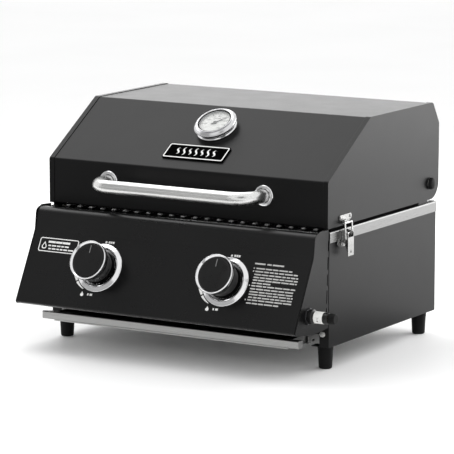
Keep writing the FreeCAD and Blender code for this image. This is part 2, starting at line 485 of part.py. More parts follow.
# cooking grates: cast bars front to back with cross members
def grate(x0):
    bars = []
    n = 11
    for i in range(n):
        x = x0+8+i*23.7
        bars.append(ext_y(face([(x-3.0, GRATE_Z+0.3), (x+3.0, GRATE_Z+0.3), (x+4.0, GRATE_Z+3.8), (x+2.6, GRATE_Z+5.8), (x-2.6, GRATE_Z+5.8), (x-4.0, GRATE_Z+3.8)], 0, to=xz), 10.5, 363.0))
    for y in (27.0, 181.0, 340.0):
        bars.append(box(x0+5, x0+248, y, y+8, GRATE_Z-5.5, GRATE_Z+3.5))
    return fuse(bars[0], *bars[1:])
g = grate(4.2)
node("grate_right", g)
node("grate_left", mirror(g))

# hinge brackets on the rims
def bracket():
    head = face([(PIV_Y-13, PIV_Z+13), (PIV_Y-13, 262), (328, RIM_Z+0.02), (362, RIM_Z+0.02), (PIV_Y+11, 262), (PIV_Y+13, PIV_Z+13)], [12, 6, 0, 0, 8, 12])
    up = ext_x(head, XC-5.2, XC-3.2)
    foot = box(XC-10.8, XC-3.2, 328, 377, RIM_Z+0.02, RIM_Z+1.82)
    pad = box(XC-10.8, XC-1.7, 375.5, 389, RIM_Z+0.02, 237.8)
    s = fuse(up, foot, pad)
    s = s.cut(cyl(4.05, 10, (XC-8, PIV_Y, PIV_Z), (1, 0, 0)))
    s = s.cut(cyl(2.0, 6, (XC-8.4, 336, RIM_Z-2), (0, 0, 1)))
    return s
b = bracket()
node("hinge_brackets", b, mirror(b))
for sx in (1, -1):
    s = revolve([(0, -2.5), (2.0, -2.5), (2.0, 0), (3.1, 0), (2.8, 0.6), (0, 0.8)], (sx*(XC-8.4), 336, RIM_Z+1.82), (0, 0, 1))
    node("base_rivets", s)

# latch base plates with ears, pin included
LP_X, LP_Z = XC+8.6, 229.0
def latch_base():
    pl = ext_x(face([(LATCH_Y-16, 207), (LATCH_Y+16, 207), (LATCH_Y+16, 235.5), (LATCH_Y-16, 235.5)], 3), XC+1.3, XC+2.8)
    ear = lambda y: ext_y(face([(XC+2.0, 217), (LP_X+3.2, LP_Z-4.5), (LP_X+3.2, LP_Z+3.6), (XC+2.0, 235.5)], [0, 3.0, 3.0, 0], to=xz), y, y+1.2)
    tab = ext_x(face([(LATCH_Y-27, 207), (LATCH_Y-15, 210), (LATCH_Y-15, 222), (LATCH_Y-22, 222)], [4.5, 0, 0, 4]), XC+1.3, XC+2.8)
    s = fuse(pl, ear(LATCH_Y-8.4), ear(LATCH_Y+7.2), tab)
    s = s.cut(cyl(1.9, 6, (XC, LATCH_Y-22.5, 212.5), (1, 0, 0)))
    for y in (LATCH_Y-9, LATCH_Y+9):
        s = s.cut(cyl(1.6, 6, (XC, y, 211.5), (1, 0, 0)))
    pin = cyl(1.6, 20.4, (LP_X, LATCH_Y-10.2, LP_Z), (0, 1, 0))
    return s, pin
lb, lp = latch_base()
lb = lb.cut(cyl(1.6, 32, (LP_X, LATCH_Y-16, LP_Z), (0, 1, 0)))
node("latch_bases", lb, mirror(lb))
node("latch_pins", lp, mirror(lp))
for sx in (1, -1):
    for (y, z) in ((LATCH_Y-9, 211.5), (LATCH_Y+9, 211.5)):
        s = revolve([(0, -3.2), (1.6, -3.2), (1.6, 0), (3.0, 0), (2.6, 0.8), (1.0, 1.2), (0, 1.2)], (XC+2.8, y, z), (1, 0, 0))
        node("base_rivets", s if sx > 0 else mirror(s))

# lever: channel hanging from the pin
LB_X, LB_Z = XC+11.4, 221.5       # bail pivot
def lever():
    web = ext_y(face([(XC+13.6, 191.5), (XC+15.0, 191.5), (XC+15.0, LP_Z-6.0), (XC+13.6, LP_Z-6.0)], 0, to=xz), LATCH_Y-10, LATCH_Y+10)
    ch = lambda y: ext_y(face([(XC+15.0, 194.5), (XC+10.8, 206), (XC+5.8, 217.5), (XC+5.8, LP_Z+2.8), (XC+15.0, LP_Z+2.8)], [0, 3, 3, 2.6, 2.0], to=xz), y, y+1.2)
    s = fuse(web, ch(LATCH_Y-10), ch(LATCH_Y+8.8))
    s = s.cut(cyl(1.66, 40, (LP_X, LATCH_Y-20, LP_Z), (0, 1, 0)))
    s = s.cut(cyl(1.56, 40, (LB_X, LATCH_Y-20, LB_Z), (0, 1, 0)))
    s = s.cut(cyl(2.0, 8, (XC+10, LATCH_Y, 198), (1, 0, 0)))
    return s
lv = lever()
node("latch_lever_right", lv); node("latch_lever_left", mirror(lv))

# bail: sprung wire loop from the lever to the keeper
BAIL_X = XC+9.7; BAIL_Z = 248.0
def bail():
    r = 1.5
    y0, y1 = LATCH_Y-12.0, LATCH_Y+12.0
    def seg(a, b_):
        a, b_ = V(*a), V(*b_); d = b_-a
        return Part.makeCylinder(r, d.Length, a, d)
    P = [(LB_X, LATCH_Y-8.75, LB_Z), (LB_X, y0, LB_Z), (BAIL_X, y0+0.0, BAIL_Z), (BAIL_X, y1, BAIL_Z), (LB_X, y1, LB_Z), (LB_X, LATCH_Y+8.75, LB_Z)]
    solids = [seg(P[i], P[i+1]) for i in range(5)]+[Part.makeSphere(r, V(*p)) for p in P[1:5]]
    return fuse(solids[0], *solids[1:])
bl = bail()
node("latch_bail_right", bl); node("latch_bail_left", mirror(bl))

# legs with studs, and their bolts
for nm, x, y in (("front_left", -LEG_X, LEG_Y0), ("front_right", LEG_X, LEG_Y0), ("rear_left", -LEG_X, LEG_Y1), ("rear_right", LEG_X, LEG_Y1)):
    leg = revolve([(0, 0), (10.6, 0), (11.5, 1.2), (13.5, BASE_BOT-2.5), (13.5, BASE_BOT-0.02), (3.1, BASE_BOT-0.02), (3.1, BASE_BOT+8), (0, BASE_BOT+8)], (x, y, 0), (0, 0, 1))
    node("legs", leg)
    nutl = hexa(10, 4, (x, y, BASE_BOT+T+0.02), (0, 0, 1)).cut(cyl(3.12, 8, (x, y, BASE_BOT), (0, 0, 1)))
    node("hex_fasteners", nutl)

# front bolts on the side panel flanges
for x in (-268.0, 268.0):
    b_ = fuse(hexa(8, 3.4, (x, BASE_Y0, 62), (0, -1, 0), 0), cyl(5.0, 0.8, (x, BASE_Y0, 62), (0, -1, 0)))
    node("hex_fasteners", b_)

# tray runners hung below the base, and the grease tray
def runner():
    s = ext_y(sheet([(227.0, 42.2), (RX+3.6, 42.2), (RX+3.6, 61.0), (256.0, 61.0)], [2.2, 2.2], TS, 1, to=xz), BASE_Y0+T+0.1, 384)
    f = box(RX+5.2, 274.0, BASE_Y0+T+0.1, BASE_Y0+2*T+0.1, 45.0, 61.0)
    f = f.cut(cyl(2.6, 6, (249.5, BASE_Y0, 50), (0, 1, 0)))
    return fuse(s, f, box(RX+3.0, RX+6, BASE_Y0+T+0.1, BASE_Y0+2*T+0.1, 45.0, 61.0))
RX = 236.0
rn = runner()
node("tray_runners", rn, mirror(rn))
def tray():
    pan = box(-RX, RX, -55.0, 372.0, 43.6, 58.5).cut(box(-RX+TS, RX-TS, -55.0+TS, 372.0-TS, 44.6, 60))
    frt = ext_x(sheet([(-44.5, TRAY_Z1-1), (TRAY_Y0, TRAY_Z1), (TRAY_Y0, TRAY_Z0), (-52.0, TRAY_Z0)], [2, 2], TS, 1), -TRAY_X, TRAY_X)
    ends = box(TRAY_X-TS, TRAY_X, TRAY_Y0+0.8, -44.5, TRAY_Z0+0.6, TRAY_Z1-0.9)
    return fuse(pan, frt, ends, mirror(ends))
node("grease_tray", tray())

# ================================================================ export
os.makedirs("parts", exist_ok=True)
for f in os.listdir("parts"):
    if f.endswith(".step"):
        os.remove(os.path.join("parts", f))
bb = FreeCAD.BoundBox()
for name, shapes in sorted(out.items()):
    solids = []
    for s in shapes:
        ss = s.Solids
        if not ss:
            raise RuntimeError(name+": no solid")
        solids += ss
    c = Part.Compound([s.copy() for s in solids]) if len(solids) > 1 else solids[0].copy()
    bad = [s for s in solids if not s.isValid() or s.Volume <= 0]
    c.translate(V(-OX, -OY, 0))
    bb.add(c.BoundBox)
    c.exportStep("parts/%s.step" % name)
    print("%-24s solids %d vol %.0f%s" % (name, len(solids), c.Volume, "  BAD" if bad else ""))
print("nodes", len(out))
print("box", [round(v, 3) for v in (bb.XMin, bb.YMin, bb.ZMin, bb.XMax, bb.YMax, bb.ZMax)])
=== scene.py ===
import math
import random

import bpy
import bmesh
from mathutils import Matrix, Vector


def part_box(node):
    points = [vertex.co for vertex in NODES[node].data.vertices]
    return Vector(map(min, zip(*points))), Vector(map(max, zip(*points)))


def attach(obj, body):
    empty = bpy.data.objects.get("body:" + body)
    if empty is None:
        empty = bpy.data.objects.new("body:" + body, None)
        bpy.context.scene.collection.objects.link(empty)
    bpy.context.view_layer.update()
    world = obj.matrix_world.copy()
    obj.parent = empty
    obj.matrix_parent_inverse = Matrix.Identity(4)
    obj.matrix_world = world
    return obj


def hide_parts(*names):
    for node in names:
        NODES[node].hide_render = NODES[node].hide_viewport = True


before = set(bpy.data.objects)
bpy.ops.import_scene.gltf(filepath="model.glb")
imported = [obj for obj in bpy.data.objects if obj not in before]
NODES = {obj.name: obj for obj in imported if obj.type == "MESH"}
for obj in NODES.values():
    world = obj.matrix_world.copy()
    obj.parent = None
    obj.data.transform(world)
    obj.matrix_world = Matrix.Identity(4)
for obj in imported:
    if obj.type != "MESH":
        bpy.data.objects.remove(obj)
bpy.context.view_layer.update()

# Working datum in millimetres: X = 0 on the symmetry plane of the body, Y = 0 on the front of the lid.
_lo, _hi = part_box("lid_shell")
OX = -500.0 * (_lo.x + _hi.x)
OY = -1000.0 * _lo.y


def W(x, y, z):
    return Vector(((x - OX) / 1000.0, (y - OY) / 1000.0, z / 1000.0))


# ------------------------------------------------------------------ dimensions shared with the CAD
LY1, LZ1, LY2, LZ2 = 0.0, 320.5, 146.7, 413.3
_l = math.hypot(LY2 - LY1, LZ2 - LZ1)
LE = Vector((0, (LY2 - LY1) / _l, (LZ2 - LZ1) / _l))
LN = Vector((0, -LE.z, LE.y))
PY2, PZ2, PY3, PZ3 = -47.8, 201.1, -111.1, 81.3
_l = math.hypot(PY3 - PY2, PZ3 - PZ2)
PE = Vector((0, (PY3 - PY2) / _l, (PZ3 - PZ2) / _l))
PN = Vector((0, PE.z, -PE.y))
EX = Vector((1, 0, 0))
XC = 280.0


def lid_pt(x, s, h=0.0):
    return W(x, LY1 + LE.y * s + LN.y * h, LZ1 + LE.z * s + LN.z * h)


def pan_pt(x, s, h=0.0):
    return W(x, PY2 + PE.y * s + PN.y * h, PZ2 + PE.z * s + PN.z * h)


def skin(s):
    """Height of the painted panel skin over the panel datum plane."""
    return -0.484 + 0.286 * s / 135.0


# ------------------------------------------------------------------ camera
back = Vector((0.5080, -0.8441, 0.1714)).normalized()
target = W(0, 150, 180)
cam_data = bpy.data.cameras.new("camera")
cam = bpy.data.objects.new("camera", cam_data)
bpy.context.scene.collection.objects.link(cam)
cam.location = target + back * 5.24827
cam.rotation_mode = "QUATERNION"
cam.rotation_quaternion = (-back).to_track_quat("-Z", "Y")
cam_data.sensor_width = 36.0
cam_data.lens = 2986.56 / 454.0 * 36.0
cam_data.shift_x = (227.0 - 230.47) / 454.0
cam_data.shift_y = (238.22 - 227.0) / 454.0
cam_data.clip_start = 0.05
cam_data.clip_end = 200.0
bpy.context.scene.camera = cam

# ------------------------------------------------------------------ materials


class Mat:
    """A procedural material: object-space noise drives colour, roughness and bump."""

    def __init__(self, name, color, rough, metallic=0.0, spec=0.5, coat=0.0, coat_rough=0.1):
        m = bpy.data.materials.new(name)
        m.use_nodes = True
        self.m = m
        nt = m.node_tree
        self.nt = nt
        self.bsdf = nt.nodes["Principled BSDF"]
        self.bsdf.inputs["Base Color"].default_value = (*color, 1)
        self.bsdf.inputs["Roughness"].default_value = rough
        self.bsdf.inputs["Metallic"].default_value = metallic
        self.bsdf.inputs["Specular IOR Level"].default_value = spec
        self.bsdf.inputs["Coat Weight"].default_value = coat
        self.bsdf.inputs["Coat Roughness"].default_value = coat_rough
        self.color, self.rough = color, rough
        self.tc = nt.nodes.new("ShaderNodeTexCoord")
        self.normal = None

    def new(self, kind, **props):
        n = self.nt.nodes.new(kind)
        for k, v in props.items():
            setattr(n, k, v)
        return n

    def noise(self, scale, stretch=(1, 1, 1), detail=2.0, rough=0.5, rotate=(0, 0, 0)):
        mp = self.new("ShaderNodeMapping")
        mp.inputs["Scale"].default_value = stretch
        mp.inputs["Rotation"].default_value = rotate
        self.nt.links.new(self.tc.outputs["Object"], mp.inputs["Vector"])
        n = self.new("ShaderNodeTexNoise")
        n.inputs["Scale"].default_value = scale
        n.inputs["Detail"].default_value = detail
        n.inputs["Roughness"].default_value = rough
        self.nt.links.new(mp.outputs["Vector"], n.inputs["Vector"])
        return n.outputs["Fac"]

    def remap(self, src, a, b, lo=0.3, hi=0.7):
        r = self.new("ShaderNodeMapRange")
        r.inputs["From Min"].default_value = lo
        r.inputs["From Max"].default_value = hi
        r.inputs["To Min"].default_value = a
        r.inputs["To Max"].default_value = b
        self.nt.links.new(src, r.inputs["Value"])
        return r.outputs["Result"]

    def vary_rough(self, src, amount, lo=0.3, hi=0.7):
        self.nt.links.new(self.remap(src, self.rough - amount, self.rough + amount, lo, hi), self.bsdf.inputs["Roughness"])
        return self

    def vary_color(self, src, dark, light, lo=0.3, hi=0.7):
        mx = self.new("ShaderNodeMix", data_type="RGBA")
        mx.inputs["A"].default_value = (*[c * dark for c in self.color], 1)
        mx.inputs["B"].default_value = (*[min(1, c * light) for c in self.color], 1)
        self.nt.links.new(self.remap(src, 0, 1, lo, hi), mx.inputs["Factor"])
        self.nt.links.new(mx.outputs["Result"], self.bsdf.inputs["Base Color"])
        self.col_out = mx.outputs["Result"]
        return self

    def edge(self, radius, tint, amount):
        """Lighter edges, found by comparing the rounded normal with the true one: slight wear on most finishes, and a
        painted edge highlight where the tint is strong, as on the cast iron.
        """
        bv = self.new("ShaderNodeBevel")
        bv.samples = 4
        bv.inputs["Radius"].default_value = radius
        geo = self.new("ShaderNodeNewGeometry")
        dot = self.new("ShaderNodeVectorMath", operation="DOT_PRODUCT")
        self.nt.links.new(bv.outputs["Normal"], dot.inputs[0])
        self.nt.links.new(geo.outputs["Normal"], dot.inputs[1])
        f = self.remap(dot.outputs["Value"], amount, 0.0, 0.80, 0.97)
        mx = self.new("ShaderNodeMix", data_type="RGBA")
        mx.inputs["B"].default_value = (*tint, 1)
        self.nt.links.new(f, mx.inputs["Factor"])
        if hasattr(self, "col_out"):
            self.nt.links.new(self.col_out, mx.inputs["A"])
        else:
            mx.inputs["A"].default_value = (*self.color, 1)
        self.nt.links.new(mx.outputs["Result"], self.bsdf.inputs["Base Color"])
        self.normal = bv.outputs["Normal"]
        return self

    def bump(self, src, distance, strength=1.0):
        b = self.new("ShaderNodeBump")
        b.inputs["Strength"].default_value = strength
        b.inputs["Distance"].default_value = distance
        self.nt.links.new(src, b.inputs["Height"])
        if self.normal is not None:
            self.nt.links.new(self.normal, b.inputs["Normal"])
        self.nt.links.new(b.outputs["Normal"], self.bsdf.inputs["Normal"])
        self.normal = b.outputs["Normal"]
        return self


def paint(name, color, rough, spec, peel=0.00006):
    m = Mat(name, color, rough, spec=spec)
    m.vary_color(m.noise(7, detail=4), 0.86, 1.16)
    m.edge(0.0006, (0.05, 0.05, 0.052), 0.5)
    m.vary_rough(m.noise(26, detail=5, rough=0.6), 0.014)
    m.bump(m.noise(420, detail=2), peel)
    m.bump(m.noise(1500, detail=1), peel * 0.35)
    return m.m


def brushed(name, color, rough, along, fine=1.0):
    """Sheet metal brushed along one axis: long thin streaks in roughness, colour and bump."""
    st = {"x": (0.012, 1, 1), "y": (1, 0.012, 1), "z": (1, 1, 0.012)}[along]
    m = Mat(name, color, rough, metallic=1.0)
    streak = m.noise(1100 * fine, st, detail=3, rough=0.65)
    broad = m.noise(9, detail=3)
    m.vary_color(streak, 0.86, 1.10)
    m.vary_rough(streak, 0.07)
    m.bump(streak, 0.00003, 0.6)
    m.bump(broad, 0.00012, 0.25)
    m.bsdf.inputs["Anisotropic"].default_value = 0.35
    return m.m


def plated(name, color, rough, tint):
    """Zinc plate: cloudy, slightly mottled."""
    m = Mat(name, color, rough, metallic=1.0)
    m.vary_color(m.noise(60, detail=5, rough=0.65), 0.82, 1.12)
    m.edge(0.0004, tint, 0.35)
    m.vary_rough(m.noise(140, detail=4), 0.09)
    m.bump(m.noise(900, detail=3), 0.00003, 0.6)
    return m.m


def chrome(name, color, rough):
    m = Mat(name, color, rough, metallic=1.0)
    m.vary_color(m.noise(35, detail=3), 0.95, 1.04)
    m.vary_rough(m.noise(90, detail=4), 0.03)
    m.bump(m.noise(45, detail=2), 0.00006, 0.25)
    return m.m


def plastic(name, color, rough, grain, depth=0.00005, spec=0.4, tip=None, tip_r=0.0005, tip_amount=0.4):
    m = Mat(name, color, rough, spec=spec)
    m.vary_color(m.noise(30, detail=3), 0.85, 1.15)
    m.edge(tip_r, tip or tuple(min(1, c * 2.5) for c in color), tip_amount)
    m.vary_rough(m.noise(80, detail=4), 0.05)
    m.bump(m.noise(grain, detail=2), depth)
    return m.m


M = {
    "black_paint": paint("black_paint", (0.0042, 0.0042, 0.0044), 0.34, 0.16),
    "black_enamel": paint("black_enamel", (0.0038, 0.0038, 0.0040), 0.28, 0.32, 0.00004),
    "stainless_x": brushed("stainless_x", (0.60, 0.60, 0.59), 0.30, "x"),
    "stainless_y": brushed("stainless_y", (0.60, 0.60, 0.59), 0.30, "y"),
    "plated_steel": plated("plated_steel", (0.66, 0.66, 0.65), 0.30, (0.8, 0.8, 0.8)),
    "chrome": chrome("chrome", (0.80, 0.80, 0.81), 0.13),
    "brass": plated("brass", (0.72, 0.55, 0.25), 0.30, (0.85, 0.7, 0.4)),
    "black_plastic": plastic("black_plastic", (0.0045, 0.0045, 0.0047), 0.30, 1300, spec=0.34),
    "rubber": plastic("rubber", (0.0042, 0.0042, 0.0043), 0.58, 900, 0.0001, spec=0.14),
    "gloss_black": plastic("gloss_black", (0.012, 0.012, 0.0122), 0.30, 1300, 0.00002, spec=0.03),
    # Plated steel darkened to 0.10 so the gas inlet nut reads dark.
    "black_oxide": plated("black_oxide", (0.10, 0.10, 0.105), 0.34, (0.3, 0.3, 0.3)),
    # The same brushed stainless darkened to 0.22: a painted shade on the side rims.
    "stainless_rim": brushed("stainless_rim", (0.22, 0.22, 0.218), 0.30, "y"),
    # The same brushed stainless brightened to 0.78: painted light on the handle.
    "stainless_handle": brushed("stainless_handle", (0.78, 0.78, 0.77), 0.27, "x"),
    # Chrome darkened to 0.68: a painted shade on the thermometer bezel.
    "gauge_steel": chrome("gauge_steel", (0.68, 0.68, 0.69), 0.20),
    # Plated steel darkened to 0.20: a painted shade on the tray runners under the control panel.
    "runner_steel": plated("runner_steel", (0.20, 0.20, 0.20), 0.34, (0.6, 0.6, 0.6)),
    "plated_latch": plated("plated_latch", (0.33, 0.33, 0.325), 0.28, (0.85, 0.85, 0.85)),
    "ink_text": plastic("ink_text", (0.50, 0.50, 0.49), 0.50, 1500, 0.00002),
    # The same brushed stainless darkened to 0.36: a painted shade on the tray under the control panel.
    "stainless_tray": brushed("stainless_tray", (0.36, 0.36, 0.355), 0.32, "x"),
    # Flat black with no gloss, used for painted shade strips.
    "seal": plastic("seal", (0.004, 0.004, 0.004), 0.7, 900, 0.00005, spec=0.0),
    # Cast iron whose strong light edge tint is a painted edge highlight.
    "cast_iron": plastic("cast_iron", (0.020, 0.020, 0.021), 0.40, 520, 0.0002, tip=(0.60, 0.60, 0.61), tip_r=0.0010, tip_amount=0.85),
    "ceramic": plastic("ceramic", (0.82, 0.80, 0.74), 0.22, 500, 0.00003, spec=0.5),
    "badge_black": plastic("badge_black", (0.002, 0.002, 0.002), 0.5, 700, 0.00002, spec=0.0),
    "dial_face": plastic("dial_face", (0.74, 0.74, 0.72), 0.42, 1200, 0.00001),
    "needle": plastic("needle", (0.02, 0.02, 0.02), 0.40, 1500, 0.00001),
    "ink_white": plastic("ink_white", (0.80, 0.80, 0.79), 0.50, 1500, 0.00002),
    "ink_grey": plastic("ink_grey", (0.16, 0.16, 0.16), 0.45, 1500, 0.00002),
    "ink_black": plastic("ink_black", (0.03, 0.03, 0.03), 0.50, 1500, 0.00002),
    "paper_tag": plastic("paper_tag", (0.80, 0.80, 0.78), 0.62, 600, 0.00006),
}


def blued_steel():
    """Inside of the firebox and burner parts: stainless, slightly heat tinted and stained."""
    m = Mat("heated_stainless", (0.50, 0.49, 0.47), 0.36, metallic=1.0)
    stain = m.noise(14, detail=6, rough=0.62)
    mx = m.new("ShaderNodeMix", data_type="RGBA")
    mx.inputs["A"].default_value = (0.50, 0.49, 0.47, 1)
    mx.inputs["B"].default_value = (0.38, 0.33, 0.27, 1)
    m.nt.links.new(m.remap(stain, 0, 0.7, 0.42, 0.66), mx.inputs["Factor"])
    m.nt.links.new(mx.outputs["Result"], m.bsdf.inputs["Base Color"])
    m.vary_rough(m.noise(900, (0.02, 1, 1), detail=3), 0.08)
    m.bump(m.noise(900, (0.02, 1, 1), detail=3), 0.00003, 0.5)
    m.bump(m.noise(6, detail=2), 0.0006, 0.25)
    return m.m


M["heated"] = blued_steel()


def grate_iron():
    """Cast iron bars with a painted highlight: a near-white band along the top front edge of each bar stands in for
    their lit front ends.
    """
    m = Mat("grate_iron", (0.020, 0.020, 0.021), 0.42, spec=0.4)
    m.vary_color(m.noise(30, detail=4), 0.8, 1.25)
    # Painted highlight: fy and fz pick out the top front edge of the bars, which is mixed towards near-white below.
    sep = m.new("ShaderNodeSeparateXYZ")
    m.nt.links.new(m.tc.outputs["Object"], sep.inputs[0])
    y0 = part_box("grate_left")[0].y
    z1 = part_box("grate_left")[1].z
    fy = m.remap(sep.outputs["Y"], 1.0, 0.0, y0 + 0.0030, y0 + 0.0060)
    fz = m.remap(sep.outputs["Z"], 0.0, 1.0, z1 - 0.0026, z1 - 0.0014)
    both = m.new("ShaderNodeMath", operation="MULTIPLY")
    m.nt.links.new(fy, both.inputs[0])
    m.nt.links.new(fz, both.inputs[1])
    f = both.outputs[0]
    # Noise that breaks the painted highlight into uneven dashes.
    highlight_breakup = m.remap(m.noise(260, detail=3), 0.55, 1.0, 0.35, 0.65)
    mul = m.new("ShaderNodeMath", operation="MULTIPLY")
    m.nt.links.new(f, mul.inputs[0])
    m.nt.links.new(highlight_breakup, mul.inputs[1])
    mx = m.new("ShaderNodeMix", data_type="RGBA")
    mx.inputs["B"].default_value = (0.85, 0.85, 0.84, 1)
    m.nt.links.new(mul.outputs[0], mx.inputs["Factor"])
    m.nt.links.new(m.col_out, mx.inputs["A"])
    m.col_out = mx.outputs["Result"]
    m.edge(0.0008, (0.10, 0.10, 0.105), 0.5)
    m.vary_rough(m.noise(80, detail=4), 0.06)
    m.bump(m.noise(520, detail=2), 0.0002)
    return m.m


M["grate_iron"] = grate_iron()


def glass():
    """Thin clear cover: mostly see-through, with a faint film and a sharp surface reflection."""
    m = Mat("glass", (0.75, 0.77, 0.77), 0.03, spec=0.6)
    m.bsdf.inputs["Alpha"].default_value = 0.10
    m.vary_rough(m.noise(60, detail=2), 0.012)
    m.bump(m.noise(30, detail=1), 0.00002, 0.1)
    return m.m


M["glass"] = glass()

# ------------------------------------------------------------------ mesh helpers


def link(name, me):
    ob = bpy.data.objects.new(name, me)
    bpy.context.scene.collection.objects.link(ob)
    return ob


def finish_mesh(ob, smooth_deg=38.0, weighted=True):
    me = ob.data
    me.shade_smooth()
    me.set_sharp_from_angle(angle=math.radians(smooth_deg))
    if weighted:
        w = ob.modifiers.new("weighted", "WEIGHTED_NORMAL")
        w.keep_sharp = True
        w.weight = 60
        bake(ob)
    return ob


def bake(ob):
    dg = bpy.context.evaluated_depsgraph_get()
    me = bpy.data.meshes.new_from_object(ob.evaluated_get(dg))
    ob.modifiers.clear()
    old = ob.data
    ob.data = me
    bpy.data.meshes.remove(old)


def put(ob, mat, body, slot, *nodes):
    ob.data.materials.clear()
    for m in (mat if isinstance(mat, (list, tuple)) else [mat]):
        ob.data.materials.append(M[m] if isinstance(m, str) else m)
    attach(ob, body)
    if nodes:
        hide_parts(*nodes)
    return ob


def refine(node, mat, body, slot, width=0.35, seg=2, angle=32, smooth=38):
    """A finer copy of a CAD node: clean polygons, rounded edges, smooth shading."""
    src = NODES[node]
    me = bpy.data.meshes.new(node + "_fine")
    bm = bmesh.new()
    bm.from_mesh(src.data)
    bmesh.ops.remove_doubles(bm, verts=bm.verts, dist=3e-6)
    bmesh.ops.dissolve_limit(bm, angle_limit=math.radians(0.6), verts=bm.verts, edges=bm.edges)
    bmesh.ops.recalc_face_normals(bm, faces=bm.faces)
    bm.to_mesh(me)
    bm.free()
    ob = link(node + "_fine", me)
    if width > 0:
        b = ob.modifiers.new("bevel", "BEVEL")
        b.width = width / 1000.0
        b.segments = seg
        b.limit_method = "ANGLE"
        b.angle_limit = math.radians(angle)
        b.use_clamp_overlap = True
        b.profile = 0.6
        bake(ob)
    finish_mesh(ob, smooth)
    return put(ob, mat, body, slot, node)


def fillet(profile, r=0.4, n=3, closed=True):
    """Rounds the corners of an (r, h) profile."""
    out = []
    m = len(profile)
    for i in range(m):
        p1 = Vector(profile[i])
        if not closed and i in (0, m - 1):
            out.append(p1)
            continue
        p0, p2 = Vector(profile[i - 1]), Vector(profile[(i + 1) % m])
        a, b = p0 - p1, p2 - p1
        la, lb = a.length, b.length
        if p1.x < 1e-6 or la < 1e-6 or lb < 1e-6:
            out.append(p1)
            continue
        a.normalize()
        b.normalize()
        ang = math.acos(max(-1, min(1, a.dot(b))))
        if ang > math.radians(166):
            out.append(p1)
            continue
        d = min(r / math.tan(ang / 2), la * 0.42, lb * 0.42)
        rr = d * math.tan(ang / 2)
        cen = p1 + (a + b).normalized() * (rr / math.sin(ang / 2))
        s, e = p1 + a * d - cen, p1 + b * d - cen
        t = math.acos(max(-1, min(1, s.normalized().dot(e.normalized()))))
        sg = 1 if s.x * e.y - s.y * e.x > 0 else -1
        for k in range(n + 1):
            w = sg * t * k / n
            out.append(cen + Vector((s.x * math.cos(w) - s.y * math.sin(w), s.x * math.sin(w) + s.y * math.cos(w))))
    return out


def basis(d):
    d = d.normalized()
    u = Vector((1, 0, 0)) if abs(d.x) < 0.9 else Vector((0, 0, 1))
    u = (u - d * u.dot(d)).normalized()
    return u, d.cross(u), d


def lathe(bm, profile, p, d, seg=96, closed=True, shape=None, mat_index=0):
    """Turns an (r, h) profile in millimetres about the axis through p along d. shape(angle, r, h) may scale r."""
    u, v, d = basis(d)
    rings = []
    for r, h in profile:
        if r < 1e-6:
            rings.append([bm.verts.new(p + d * (h / 1000.0))])
            continue
        ring = []
        for k in range(seg):
            a = 2 * math.pi * k / seg
            q = r if shape is None else shape(a, r, h)
            ring.append(bm.verts.new(p + (u * math.cos(a) + v * math.sin(a)) * (q / 1000.0) + d * (h / 1000.0)))
        rings.append(ring)
    n = len(rings)
    for i in range(n if closed else n - 1):
        A, B = rings[i], rings[(i + 1) % n]
        if len(A) == 1 and len(B) == 1:
            continue
        for k in range(seg):
            k2 = (k + 1) % seg
            if len(A) == 1:
                f = bm.faces.new((A[0], B[k2], B[k]))
            elif len(B) == 1:
                f = bm.faces.new((A[k], A[k2], B[0]))
            else:
                f = bm.faces.new((A[k], A[k2], B[k2], B[k]))
            f.material_index = mat_index
    return bm


def bm_object(name, bm, smooth=38.0, weighted=True):
    bmesh.ops.recalc_face_normals(bm, faces=bm.faces)
    me = bpy.data.meshes.new(name)
    bm.to_mesh(me)
    bm.free()
    ob = link(name, me)
    return finish_mesh(ob, smooth, weighted)


def turned(name, profiles, mat, body, slot, *nodes, seg=96, smooth=38):
    bm = bmesh.new()
    for prof, p, d, *rest in profiles:
        lathe(bm, prof, p, d, seg, *rest)
    return put(bm_object(name, bm, smooth), mat, body, slot, *nodes)


def prism(bm, pts, h0, h1, to, inset=0.0, mat_index=0):
    """A thin raised shape: pts is a closed (a, b) outline, to(a, b, h) places it."""
    n = len(pts)
    low = [bm.verts.new(to(a, b, h0)) for a, b in pts]
    high = [bm.verts.new(to(a, b, h1)) for a, b in pts]
    for i in range(n):
        j = (i + 1) % n
        f = bm.faces.new((low[i], low[j], high[j], high[i]))
        f.material_index = mat_index
    f = bm.faces.new(high)
    f.material_index = mat_index
    f = bm.faces.new(list(reversed(low)))
    f.material_index = mat_index


def bar(bm, a0, a1, b0, b1, to, h0, h1, shear=0.0):
    prism(bm, [(a0 - shear * (b0 - b1) / 2, b0), (a1 - shear * (b0 - b1) / 2, b0), (a1 + shear * (b0 - b1) / 2, b1), (a0 + shear * (b0 - b1) / 2, b1)], h0, h1, to)


def rounded(a0, a1, b0, b1, r, n=5):
    pts = []
    for cx, cy, s in ((a1 - r, b1 - r, 0), (a0 + r, b1 - r, 90), (a0 + r, b0 + r, 180), (a1 - r, b0 + r, 270)):
        for k in range(n + 1):
            t = math.radians(s + 90 * k / n)
            pts.append((cx + r * math.cos(t), cy + r * math.sin(t)))
    return pts


def frame_ring(bm, outer, inner, h0, h1, to):
    """A raised outline between two closed curves with the same number of points."""
    n = len(outer)
    o0 = [bm.verts.new(to(a, b, h0)) for a, b in outer]
    o1 = [bm.verts.new(to(a, b, h1)) for a, b in outer]
    i0 = [bm.verts.new(to(a, b, h0)) for a, b in inner]
    i1 = [bm.verts.new(to(a, b, h1)) for a, b in inner]
    for i in range(n):
        j = (i + 1) % n
        bm.faces.new((o0[i], o0[j], o1[j], o1[i]))
        bm.faces.new((o1[i], o1[j], i1[j], i1[i]))
        bm.faces.new((i1[i], i1[j], i0[j], i0[i]))
        bm.faces.new((i0[i], i0[j], o0[j], o0[i]))


